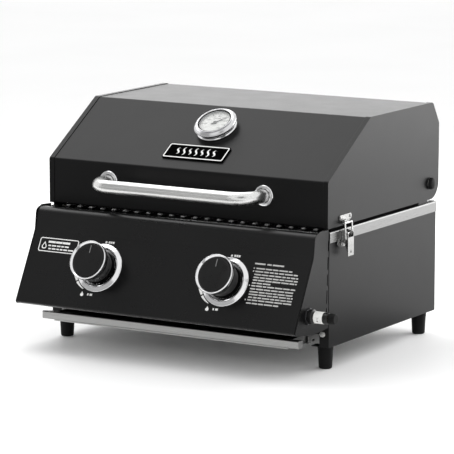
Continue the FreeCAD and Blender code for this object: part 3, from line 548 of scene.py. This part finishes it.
def strip_along(bm, line, widths, h0, h1, to):
    """A raised stroke following a line of (a, b) points."""
    L, R = [], []
    n = len(line)
    for i in range(n):
        p0, p1 = Vector(line[max(0, i - 1)]), Vector(line[min(n - 1, i + 1)])
        t = (p1 - p0).normalized()
        q = Vector((-t.y, t.x)) * (widths[i] / 2 if isinstance(widths, (list, tuple)) else widths / 2)
        c = Vector(line[i])
        L.append(c + q)
        R.append(c - q)
    for i in range(n - 1):
        prism(bm, [L[i], L[i + 1], R[i + 1], R[i]], h0, h1, to)


def sweep(bm, path, r, seg=40, caps=True):
    """A round bar along a list of points (metres), with rotation-minimising frames."""
    n = len(path)
    tang = []
    for i in range(n):
        a, b = path[max(0, i - 1)], path[min(n - 1, i + 1)]
        tang.append((b - a).normalized())
    u, v, _ = basis(tang[0])
    rings = []
    for i in range(n):
        if i:
            ax = tang[i - 1].cross(tang[i])
            if ax.length > 1e-9:
                rot = Matrix.Rotation(tang[i - 1].angle(tang[i]), 3, ax.normalized())
                u, v = rot @ u, rot @ v
        rings.append([bm.verts.new(path[i] + (u * math.cos(2 * math.pi * k / seg) + v * math.sin(2 * math.pi * k / seg)) * (r / 1000.0)) for k in range(seg)])
    for i in range(n - 1):
        for k in range(seg):
            k2 = (k + 1) % seg
            bm.faces.new((rings[i][k], rings[i][k2], rings[i + 1][k2], rings[i + 1][k]))
    if caps:
        bm.faces.new(list(reversed(rings[0])))
        bm.faces.new(rings[-1])
    return bm


def bent(points, radii, n=10):
    """A polyline in millimetres with round corners, as points in metres."""
    P = [Vector(p) for p in points]
    out = [P[0]]
    for i in range(1, len(P) - 1):
        a, b = (P[i - 1] - P[i]).normalized(), (P[i + 1] - P[i]).normalized()
        ang = a.angle(b)
        r = radii[i - 1]
        d = r / math.tan(ang / 2)
        s, e = P[i] + a * d, P[i] + b * d
        cen = P[i] + (a + b).normalized() * (r / math.sin(ang / 2))
        ax = (s - cen).cross(e - cen).normalized()
        tot = (s - cen).angle(e - cen)
        for k in range(n + 1):
            out.append(cen + Matrix.Rotation(tot * k / n, 3, ax) @ (s - cen))
    out.append(P[-1])
    return [W(*p) for p in out]


# ------------------------------------------------------------------ lid
refine("lid_shell", "black_paint", "lid", "black_paint", 0.5, 3)
for side in ("left", "right"):
    refine("lid_end_" + side, "black_paint", "lid", "black_paint", 0.45, 3)

# bowed handle: a bent tube into two rosettes
HX, HY, HZ, HR, HB = 156.0, -56.0, 289.0, 11.5, 36.0
bm = bmesh.new()
mid = [(-HX, -3.05, HZ), (-HX, HY, HZ), (HX, HY, HZ), (HX, -3.05, HZ)]
path = bent(mid, [HB, HB], 20)
dense = []
for a, b in zip(path, path[1:]):
    k = max(1, int((b - a).length / 0.02))
    dense += [a + (b - a) * (i / k) for i in range(k)]
dense.append(path[-1])
sweep(bm, dense, HR, 64)
put(bm_object("handle_bar", bm, 50, False), "stainless_handle", "lid", "stainless", "lid_handle")
turned("handle_rosette_pair", [(fillet([(11.4, 0.02), (18.2, 0.02), (18.2, 1.3), (17.3, 2.5), (14.8, 3.0), (12.8, 2.9), (11.6, 2.2)], 0.5), W(x, 0, HZ), Vector((0, -1, 0))) for x in (-HX, HX)],
       "chrome", "lid", "stainless", "handle_rosettes")
refine("handle_screws", "plated_steel", "lid", "plated_steel", 0.2)

# thermometer
TX, TS = 5.3, 114.0
TP = lid_pt(TX, TS)
turned("thermometer_case_turned", [(fillet([(5.3, 0.02), (35.6, 0.02), (36.5, 1.0), (36.5, 2.6), (35.2, 4.2), (33.6, 5.2), (33.5, 10.0), (29.5, 10.0), (29.5, 3.0), (5.3, 3.0)], 0.5), TP, LN)], "chrome", "lid", "chrome", "thermometer_case")
turned("thermometer_bezel_turned", [(fillet([(29.6, 10.2), (36.4, 10.2), (38.1, 10.7), (38.3, 11.2), (38.3, 12.2), (37.7, 12.7), (37.4, 13.5), (33.7, 16.6), (33.4, 15.4), (32.2, 15.4), (31.9, 17.9), (31.2, 18.35), (30.4, 18.1), (29.6, 16.9)], 0.35), TP, LN)], "gauge_steel", "lid", "chrome", "thermometer_bezel")
turned("thermometer_dial_disc", [(fillet([(1.2, 11.02), (29.25, 11.02), (29.25, 12.0), (1.2, 12.0)], 0.15, 2), TP, LN)], "dial_face", "lid", "dial_face", "thermometer_dial")
turned("thermometer_lens", [(fillet([(0, 15.62), (29.4, 15.62), (29.4, 16.5), (26, 16.85), (0, 16.95)], 0.2, 2), TP, LN)], "glass", "lid", "glass", "thermometer_glass")
# Painted shade: a black ring under the lens rim stands in for the shadow ring between glass and bezel.
turned("thermometer_shade_ring", [([(28.2, 15.2), (29.3, 15.2), (29.5, 17.3), (28.9, 17.5), (28.2, 17.1)], TP, LN)], "rubber", "lid", "rubber")
refine("thermometer_needle", "needle", "needle", "needle", 0.12)
turned("thermometer_stem_turned", [(fillet([(0, -58), (2.2, -58), (3.0, -56.5), (3.0, -4.0), (5.0, -4.0), (5.0, 3.02), (9, 3.02), (9, 5.0), (0, 5.0)], 0.3), TP, LN)], "brass", "lid", "brass", "thermometer_stem", seg=48)
refine("thermometer_nut", "plated_steel", "lid", "plated_steel", 0.3)


def on_dial(a, b, h):
    return lid_pt(TX + a, TS + b, h + 4.0)


bm = bmesh.new()
for i in range(41):
    t = math.radians(225 - 270 * i / 40)
    long = i % 5 == 0
    r0, r1, w = (21.6 if long else 24.2), 27.0, (0.42 if long else 0.22)
    c, s = math.cos(t), math.sin(t)
    prism(bm, [(c * r0 - s * w, s * r0 + c * w), (c * r1 - s * w, s * r1 + c * w), (c * r1 + s * w, s * r1 - c * w), (c * r0 + s * w, s * r0 - c * w)], 7.95, 8.06, on_dial)
arc = [(28.0 * math.cos(math.radians(225 - 270 * k / 60)), 28.0 * math.sin(math.radians(225 - 270 * k / 60))) for k in range(61)]
strip_along(bm, arc, 0.5, 7.95, 8.06, on_dial)
put(bm_object("dial_ticks", bm, 30, False), "ink_black", "lid", "dial_face")
bm = bmesh.new()
arc = [(12.5 * math.cos(math.radians(150 - 120 * k / 30)), 12.5 * math.sin(math.radians(150 - 120 * k / 30))) for k in range(31)]
strip_along(bm, arc, [0.3 + 1.8 * k / 30 for k in range(31)], 7.95, 8.05, on_dial)
put(bm_object("dial_band", bm, 30, False), "ink_grey", "lid", "dial_face")
digits = bmesh.new()
for i in range(9):
    t = math.radians(225 - 270 * i / 8)
    cu = bpy.data.curves.new("digits_%d" % i, "FONT")
    cu.body = str(50 * i) if i else "0"
    cu.size = 0.0048
    cu.align_x, cu.align_y = "CENTER", "CENTER"
    cu.extrude = 0.00005
    ob = link("digits_%d" % i, cu)
    o = on_dial(18.0 * math.cos(t), 18.0 * math.sin(t), 8.0)
    ob.matrix_world = Matrix.Translation(o) @ Matrix((EX, LE, LN)).transposed().to_4x4()
    bpy.context.view_layer.update()
    me = bpy.data.meshes.new_from_object(ob.evaluated_get(bpy.context.evaluated_depsgraph_get()))
    me.transform(ob.matrix_world)
    digits.from_mesh(me)
    bpy.data.objects.remove(ob)
put(bm_object("dial_numbers", digits, 30, False), "ink_black", "lid", "dial_face")

# plain badge with rising heat waves
refine("badge_plate", "badge_black", "lid", "badge_black", 0.5, 2)


def on_badge(a, b, h):
    return lid_pt(a, 44.5 + b, h + 3.0)


bm = bmesh.new()
frame_ring(bm, rounded(-59.6, 59.6, -17.6, 17.6, 3.4, 8), rounded(-57.4, 57.4, -15.4, 15.4, 2.2, 8), -0.05, 0.12, on_badge)
for i in range(7):
    x0 = -36 + 12 * i
    line = [(x0 + 2.6 * math.sin(2 * math.pi * k / 16), -10 + 20 * k / 16 * (1.0 if i % 2 else 0.8) + (0 if i % 2 else 2)) for k in range(17)]
    strip_along(bm, line, [0.8 + 2.6 * math.sin(math.pi * k / 16) for k in range(17)], -0.05, 0.12, on_badge)
put(bm_object("badge_marks", bm, 30, False), "ink_white", "lid", "badge_black")

refine("latch_keepers", "plated_latch", "lid", "plated_steel", 0.3)
refine("keeper_rivets", "plated_latch", "lid", "plated_steel", 0.15)
refine("pivot_bolts", "plated_steel", "lid", "plated_steel", 0.2)
turned("pivot_caps_turned", [(fillet([(4.1, 1.42), (10.6, 1.42), (10.6, 4.6), (9.0, 7.4), (4.8, 8.45), (0, 8.58), (0, 3.7), (4.1, 3.7)], 0.7, 4), W(sx * XC, 368, 271), Vector((sx, 0, 0))) for sx in (-1, 1)],
       "gloss_black", "lid", "black_plastic", "pivot_caps", seg=72)

# ------------------------------------------------------------------ base
for side in ("left", "right"):
    refine("side_panel_" + side, "black_paint", "chassis", "black_paint", 0.35, 2)
    refine("panel_end_" + side, "black_paint", "chassis", "black_enamel", 0.3, 2)
refine("rear_panel", "black_paint", "chassis", "black_paint", 0.25, 2)
refine("front_brace", "black_paint", "chassis", "black_paint", 0.25, 2)
refine("control_panel", "black_enamel", "chassis", "black_enamel", 0.35, 2)
refine("firebox", "heated", "chassis", "stainless", 0.25, 2)
refine("firebox_rims", "stainless_rim", "chassis", "stainless", 0.3, 2)
refine("burners", "heated", "chassis", "stainless", 0.2, 2)
refine("heat_tents", "heated", "chassis", "stainless", 0.25, 2)
refine("igniter_electrodes", "ceramic", "chassis", "ceramic", 0.2)
refine("hinge_brackets", "black_paint", "chassis", "black_paint", 0.3)
refine("base_rivets", "plated_steel", "chassis", "plated_steel", 0.15)
refine("latch_bases", "plated_latch", "chassis", "plated_steel", 0.3)
refine("latch_pins", "plated_steel", "chassis", "plated_steel", 0.2)
refine("hex_fasteners", "plated_steel", "chassis", "plated_steel", 0.4)
refine("tray_runners", "runner_steel", "chassis", "plated_steel", 0.25)
refine("gas_manifold", "plated_steel", "chassis", "plated_steel", 0.5)
refine("gas_valves", "brass", "chassis", "brass", 0.4)
refine("grease_tray", "stainless_tray", "tray", "stainless", 0.35, 2)
for side in ("left", "right"):
    refine("grate_" + side, "grate_iron", "grate_" + side, "cast_iron", 0.7, 2)
    refine("latch_lever_" + side, "plated_latch", "lever_" + side, "plated_steel", 0.35)
    refine("latch_bail_" + side, "plated_steel", "bail_" + side, "plated_steel", 0.0)

# painted shade: a dark strip behind the slots of both panel ends stands in for the shade inside them
bm = bmesh.new()
for sx in (-1, 1):
    for z0, z1 in ((203, 224.5), (171.5, 197.5), (144.5, 168.5), (114.5, 141.5), (98.8, 112)):
        y0, y1 = -6.4 + 0.05 * (z0 - 115), -6.4 + 0.05 * (z1 - 115)
        prism(bm, [(y0, z0), (y0 + 4.9, z0), (y1 + 4.9, z1), (y1, z1)], XC - 1.65, XC - 1.25, lambda a, b, h, sx=sx: W(sx * h, a, b))
put(bm_object("slot_shade_strip", bm, 30, False), "seal", "chassis", "black_enamel")

# painted shade: a thin black strip on each side rim under the lid stands in for the shade in the gap between rim and
# lid
RIM_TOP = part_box("firebox_rims")[1].z * 1000.0
LID_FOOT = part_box("lid_end_right")[0].z * 1000.0
SHADE_H = min(LID_FOOT - RIM_TOP - 0.5, 4.8)
if SHADE_H > 0.4:
    bm = bmesh.new()
    for sx in (-1, 1):
        pts = [(sx * 275.5, 10.0), (sx * 279.2, 10.0), (sx * 279.2, 326.0), (sx * 275.5, 326.0)]
        prism(bm, pts, RIM_TOP + 0.03, RIM_TOP + SHADE_H, lambda a, b, h: W(a, b, h))
    put(bm_object("lid_gap_shade", bm, 30, False), "seal", "chassis", "rubber")

# legs: moulded feet with a shoulder, a tapered flank and a soft heel
legs = []
for x, y in ((-262.5, 24.5), (262.5, 24.5), (-262.5, 363.5), (262.5, 363.5)):
    legs.append((fillet([(0, 0), (9.2, 0), (10.6, 0.8), (11.4, 2.2), (13.0, 31.0), (13.5, 32.2), (13.5, 39.45), (3.1, 39.45), (3.1, 47.5), (0, 47.5)], 0.8, 3), W(x, y, 0), Vector((0, 0, 1))))
turned("legs_turned", legs, "rubber", "chassis", "rubber", "legs", seg=64)

# ------------------------------------------------------------------ knobs
KH = 45.0
for side, x in (("left", -126.0), ("right", 126.0)):
    P = pan_pt(x, 57.5)
    body = "knob_" + side
    grip = fillet([(5.2, 9.25), (27.9, 9.25), (28.4, 10.4), (28.6, 12), (30.8, KH - 15.6), (31.6, KH - 14.6), (33.1, KH - 13.8), (33.15, KH - 9.4), (32.6, KH - 8.0), (31.2, KH - 7.7), (31.2, KH - 4.8), (29.8, KH - 4.8), (29.8, KH - 2.7), (29.0, KH - 2.0), (27.2, KH - 1.7), (24.0, KH - 1.5), (12, KH - 1.3), (0, KH - 1.2), (0, 26), (5.2, 26)], 0.5, 3)
    bm = bmesh.new()
    lathe(bm, grip, P, PN, 120)
    put(bm_object("knob_%s_turned" % side, bm), "black_plastic", body, "black_plastic", "knob_" + side)
    turned("knob_ring_%s_turned" % side, [(fillet([(29.9, KH - 3.5), (30.4, KH - 3.0), (32.8, KH - 0.45), (33.4, KH - 0.05), (34.1, KH - 0.3), (34.9, KH - 1.4), (35.05, KH - 2.6), (35.05, KH - 6.2), (34.2, KH - 7.35), (31.3, KH - 7.35), (31.3, KH - 4.75), (29.9, KH - 4.75)], 0.5, 4), P, PN)], "chrome", body, "chrome", "knob_ring_" + side, seg=128)
    refine("valve_stem_" + side, "plated_steel", body, "plated_steel", 0.3)
    refine("valve_plunger_" + side, "plated_steel", "plunger_" + side, "plated_steel", 0.3)
    bm = bmesh.new()

    def on_knob(a, b, h, x=x):
        return pan_pt(x + a, 57.5 - b, h)
    prism(bm, rounded(-0.75, 0.75, 12.5, 26.2, 0.6, 4), KH - 1.9, KH - 1.2, on_knob)
    put(bm_object("knob_%s_pointer" % side, bm, 30, False), "ink_grey", body, "black_plastic")

turned("knob_bezels_turned", [(fillet([(29.8, 0.02), (43.5, 0.02), (43.5, 1.6), (42.9, 2.4), (42.4, 2.7), (36.4, 5.15), (35.6, 4.9), (34.6, 3.6), (33.2, 2.8), (29.8, 2.4)], 0.5, 3), pan_pt(x, 57.5), PN) for x in (-126.0, 126.0)],
       "chrome", "chassis", "chrome", "knob_bezels", seg=128)

# ------------------------------------------------------------------ printed marks on the control panel (generic, no lettering)


def on_panel(a, b, h):
    return pan_pt(a, b, skin(b) + h)


bm = bmesh.new()
H0, H1 = -0.05, 0.14
for kx in (-126.0, 126.0):
    # off mark: a dot and a short bar
    prism(bm, [(kx - 1.2 + 2.1 * math.cos(t * math.pi / 8), 10.6 + 2.1 * math.sin(t * math.pi / 8)) for t in range(16)], H0, H1, on_panel)
    for a0, a1 in ((3.2, 6.8), (7.6, 11.0), (11.8, 15.2)):
        bar(bm, kx + a0, kx + a1, 8.4, 12.2, on_panel, H0, H1)
    # tapering level wedge round the lower left of the bezel, in two pieces
    for t0, t1, w0, w1 in ((192, 213, 6.6, 4.2), (216, 240, 4.6, 1.2)):
        line, ws = [], []
        for k in range(13):
            t = math.radians(t0 + (t1 - t0) * k / 12)
            w = w0 + (w1 - w0) * k / 12
            r = 45.4 + w / 2
            line.append((kx + r * math.cos(t), 57.5 - r * math.sin(t)))
            ws.append(w)
        strip_along(bm, line, ws, H0, H1, on_panel)
    # flame sign and a short bar
    fl = [(0, -4.4), (1.4, -1.8), (2.6, -0.6), (3.4, 1.2), (2.6, 3.4), (0.8, 4.2), (-1.6, 4.0), (-3.2, 2.2), (-3.0, 0.2), (-1.6, -1.2), (-1.0, -2.6)]
    prism(bm, [(kx - 23.0 + a, 106.6 + b) for a, b in fl], H0, H1, on_panel)
    for a0, a1 in ((-12.0, -9.2), (-7.0, -1.8)):
        bar(bm, kx + a0, kx + a1, 104.6, 108.4, on_panel, H0, H1)

# framed label on the left: a plain drop sign and three bars
frame_ring(bm, rounded(-262.5, -182.0, 13.0, 38.6, 4.0, 6), rounded(-260.9, -183.6, 14.6, 37.0, 2.6, 6), H0, H1, on_panel)
drop = [(0, -6.6), (2.4, -2.2), (4.6, 1.4), (4.8, 4.0), (3.4, 6.2), (0, 7.0), (-3.4, 6.2), (-4.8, 4.0), (-4.6, 1.4), (-2.4, -2.2)]
small = [(a * 0.66, (b - 1.0) * 0.66 + 1.4) for a, b in drop]
frame_ring(bm, [(-251.3 + a, 26.6 + b) for a, b in drop], [(-251.3 + a, 26.6 + b) for a, b in small], H0, H1, on_panel)
rng = random.Random(7)


def words(a0, a1, b, th, lo, hi, gap=1.7):
    a = a0
    while a < a1 - 2.0:
        w = rng.uniform(lo, hi)
        e = min(a + w, a1)
        bar(bm, a, e, b - th / 2, b + th / 2, on_panel, H0, H1)
        a = e + gap


words(-244.5, -199.5, 20.3, 3.6, 12, 20, 0.9)
words(-243.0, -199.5, 27.0, 2.4, 5, 12)
words(-241.5, -189.6, 32.7, 2.4, 5, 12)

put(bm_object("panel_marks", bm, 30, False), "ink_white", "chassis", "black_enamel")

# block of instructions on the right, as plain bars
bm = bmesh.new()
words(172.3, 194.0, 19.6, 2.6, 20, 24, 1.5)
words(196.2, 204.4, 19.6, 2.6, 8, 9, 1.5)
words(206.4, 228.3, 19.6, 2.6, 20, 24, 1.5)
rows = [(177.4, 247.8, 27.8), (176.6, 260.7, 33.1), (176.2, 260.3, 38.5), (176.0, 260.5, 43.6), (176.0, 260.0, 48.4), (175.8, 212.7, 53.5), (176.0, 259.9, 58.4), (175.2, 259.5, 63.8),
        (175.2, 259.0, 68.9), (175.2, 259.2, 73.6), (175.1, 258.7, 78.6), (175.0, 259.0, 83.4), (174.2, 235.8, 89.0)]
for i, (a0, a1, b) in enumerate(rows):
    words(a0, a1, b, 2.3, 6, 17, 1.6)
for a, b in ((172.0, 27.8), (172.0, 33.1), (171.0, 58.2), (170.0, 83.4)):
    bar(bm, a, a + 2.2, b - 1.1, b + 1.1, on_panel, H0, H1)
put(bm_object("panel_text_bars", bm, 30, False), "ink_text", "chassis", "black_enamel")

# ------------------------------------------------------------------ gas inlet
GP = W(XC, -67.0, 106.5)
turned("gas_inlet_collar_turned", [(fillet([(8.3, 3.62), (11.8, 3.62), (12.5, 4.4), (12.5, 11.0), (9.6, 12.8), (9.6, 38.6), (8.8, 40.55), (6.5, 40.55), (6.5, 12.1), (8.3, 12.1)], 0.5, 3), GP, EX)], "black_plastic", "chassis", "black_plastic", "gas_inlet_collar")
turned("gas_inlet_tag_band", [(fillet([(9.65, 15.02), (10.1, 15.02), (10.1, 31.5), (9.65, 31.5)], 0.12, 2), GP, EX)], "paper_tag", "chassis", "paper_tag", "gas_inlet_tag")


def on_tag(a, b, h):
    t = b / 10.1
    return GP + (EX * a + Vector((0, -math.cos(t), math.sin(t))) * (10.1 + h)) / 1000.0


bm = bmesh.new()
for a0, a1, b0, b1 in ((19.0, 20.4, -6.5, 1.5), (21.4, 24.0, -6.2, -4.0), (21.4, 24.0, -2.4, 1.2), (25.0, 26.4, -6.5, 1.5), (27.4, 29.2, -5.6, -1.6)):
    bar(bm, a0, a1, b0, b1, on_tag, -0.05, 0.1)
put(bm_object("gas_inlet_tag_marks", bm, 30, False), "ink_grey", "chassis", "paper_tag")
refine("gas_inlet_nut", "black_oxide", "chassis", "plated_steel", 0.6, 3)
groove = [(0, -1.2), (8.2, -1.2), (8.2, 12.0), (6.3, 12.0)]
for i in range(4):
    x0 = 43.0 + 1.5 * i
    groove += [(6.3, x0 - 0.5), (5.75, x0), (6.3, x0 + 0.5)]
groove += [(6.3, 49.2), (5.6, 49.9), (0, 49.9)]
groove = [(r, h if h > 0 else -1.2) for r, h in groove]
turned("gas_inlet_nipple_turned", [(groove, GP, EX)], "brass", "chassis", "brass", "gas_inlet_nipple", seg=64)


def ribs(a, r, h):
    return r if r < 8.0 or h > 51.0 else r - 0.7 * max(0.0, math.cos(12 * a)) ** 4


bm = bmesh.new()
lathe(bm, fillet([(6.8, 41.62), (8.9, 41.62), (9.2, 42.3), (9.1, 47.0), (8.9, 51.4), (7.6, 52.9), (0, 52.98), (0, 51.02), (6.8, 51.02)], 0.6, 3), GP, EX, 144, True, ribs)
put(bm_object("gas_inlet_cap_ribbed", bm), "rubber", "inlet_cap", "rubber", "gas_inlet_cap")

# ------------------------------------------------------------------ floor and light
bm = bmesh.new()
S = 60.0
n = 12
grid = [[bm.verts.new((-S + 2 * S * i / n, -S + 2 * S * j / n, -0.0001)) for j in range(n + 1)] for i in range(n + 1)]
for i in range(n):
    for j in range(n):
        bm.faces.new((grid[i][j], grid[i + 1][j], grid[i + 1][j + 1], grid[i][j + 1]))
floor = bm_object("floor", bm, 30, False)
fm = Mat("floor", (0.95, 0.95, 0.95), 0.6, spec=0.12)
fm.vary_color(fm.noise(2.0, detail=2), 0.99, 1.01)
fm.bump(fm.noise(60, detail=2), 0.0001, 0.1)
floor.data.materials.append(fm.m)

world = bpy.data.worlds.new("studio")
bpy.context.scene.world = world
world.use_nodes = True
bg = world.node_tree.nodes["Background"]
bg.inputs["Color"].default_value = (1, 1, 1, 1)
bg.inputs["Strength"].default_value = 1.03


def softbox(name, at, look, w, h, power):
    ld = bpy.data.lights.new(name, "AREA")
    ld.shape = "RECTANGLE"
    ld.size, ld.size_y = w, h
    ld.energy = power
    ob = bpy.data.objects.new(name, ld)
    bpy.context.scene.collection.objects.link(ob)
    ob.location = at
    ob.rotation_mode = "QUATERNION"
    ob.rotation_quaternion = (Vector(look) - Vector(at)).to_track_quat("-Z", "Y")
    ob.visible_camera = False
    return ob


softbox("overhead", (-0.75, 0.35, 1.75), (0, 0.0, 0.35), 1.7, 1.5, 15)
softbox("left_back", (-1.04, 1.95, 0.75), (0, 0.1, 0.38), 2.0, 1.0, 8)
softbox("right_back", (1.1, 1.5, 0.66), (0.1, 0.05, 0.17), 1.6, 1.2, 21)


def flag(name, at, look, w, h, level):
    """A grey card that only shows in reflections, as a studio flag does."""
    bm = bmesh.new()
    v = [bm.verts.new((sx * w / 2, sy * h / 2, 0)) for sx, sy in ((-1, -1), (1, -1), (1, 1), (-1, 1))]
    bm.faces.new(v)
    me = bpy.data.meshes.new(name)
    bm.to_mesh(me)
    bm.free()
    ob = link(name, me)
    ob.location = at
    ob.rotation_mode = "QUATERNION"
    ob.rotation_quaternion = (Vector(look) - Vector(at)).to_track_quat("Z", "Y")
    m = bpy.data.materials.new(name)
    m.use_nodes = True
    nt = m.node_tree
    nt.nodes.clear()
    e = nt.nodes.new("ShaderNodeEmission")
    e.inputs["Color"].default_value = (level, level, level, 1)
    o = nt.nodes.new("ShaderNodeOutputMaterial")
    nt.links.new(e.outputs[0], o.inputs[0])
    ob.data.materials.append(m)
    ob.visible_camera = False
    ob.visible_diffuse = False
    ob.visible_shadow = False
    ob.visible_transmission = False
    ob.visible_volume_scatter = False
    return ob


flag("flag_floor", (-0.9, -1.9, 0.01), (-0.9, -1.9, 1.0), 3.4, 2.6, 0.42)
flag("flag_front", (-1.0, -1.9, 0.45), (0.0, -0.2, 0.3), 2.6, 0.9, 0.50)
flag("flag_panel", (-1.52, -1.90, 1.82), (0.0, -0.2, 0.15), 2.2, 1.5, 0.42)
flag("flag_right", (1.35, -1.75, 1.55), (0.0, -0.2, 0.15), 1.1, 1.3, 0.12)
flag("flag_side", (0.41, 0.12, 0.004), (0.41, 0.12, 1.0), 0.20, 0.42, 0.25)

scene = bpy.context.scene
scene.view_settings.view_transform = "Standard"
scene.view_settings.look = "None"
scene.view_settings.exposure = 0.0
scene.view_settings.gamma = 1.0
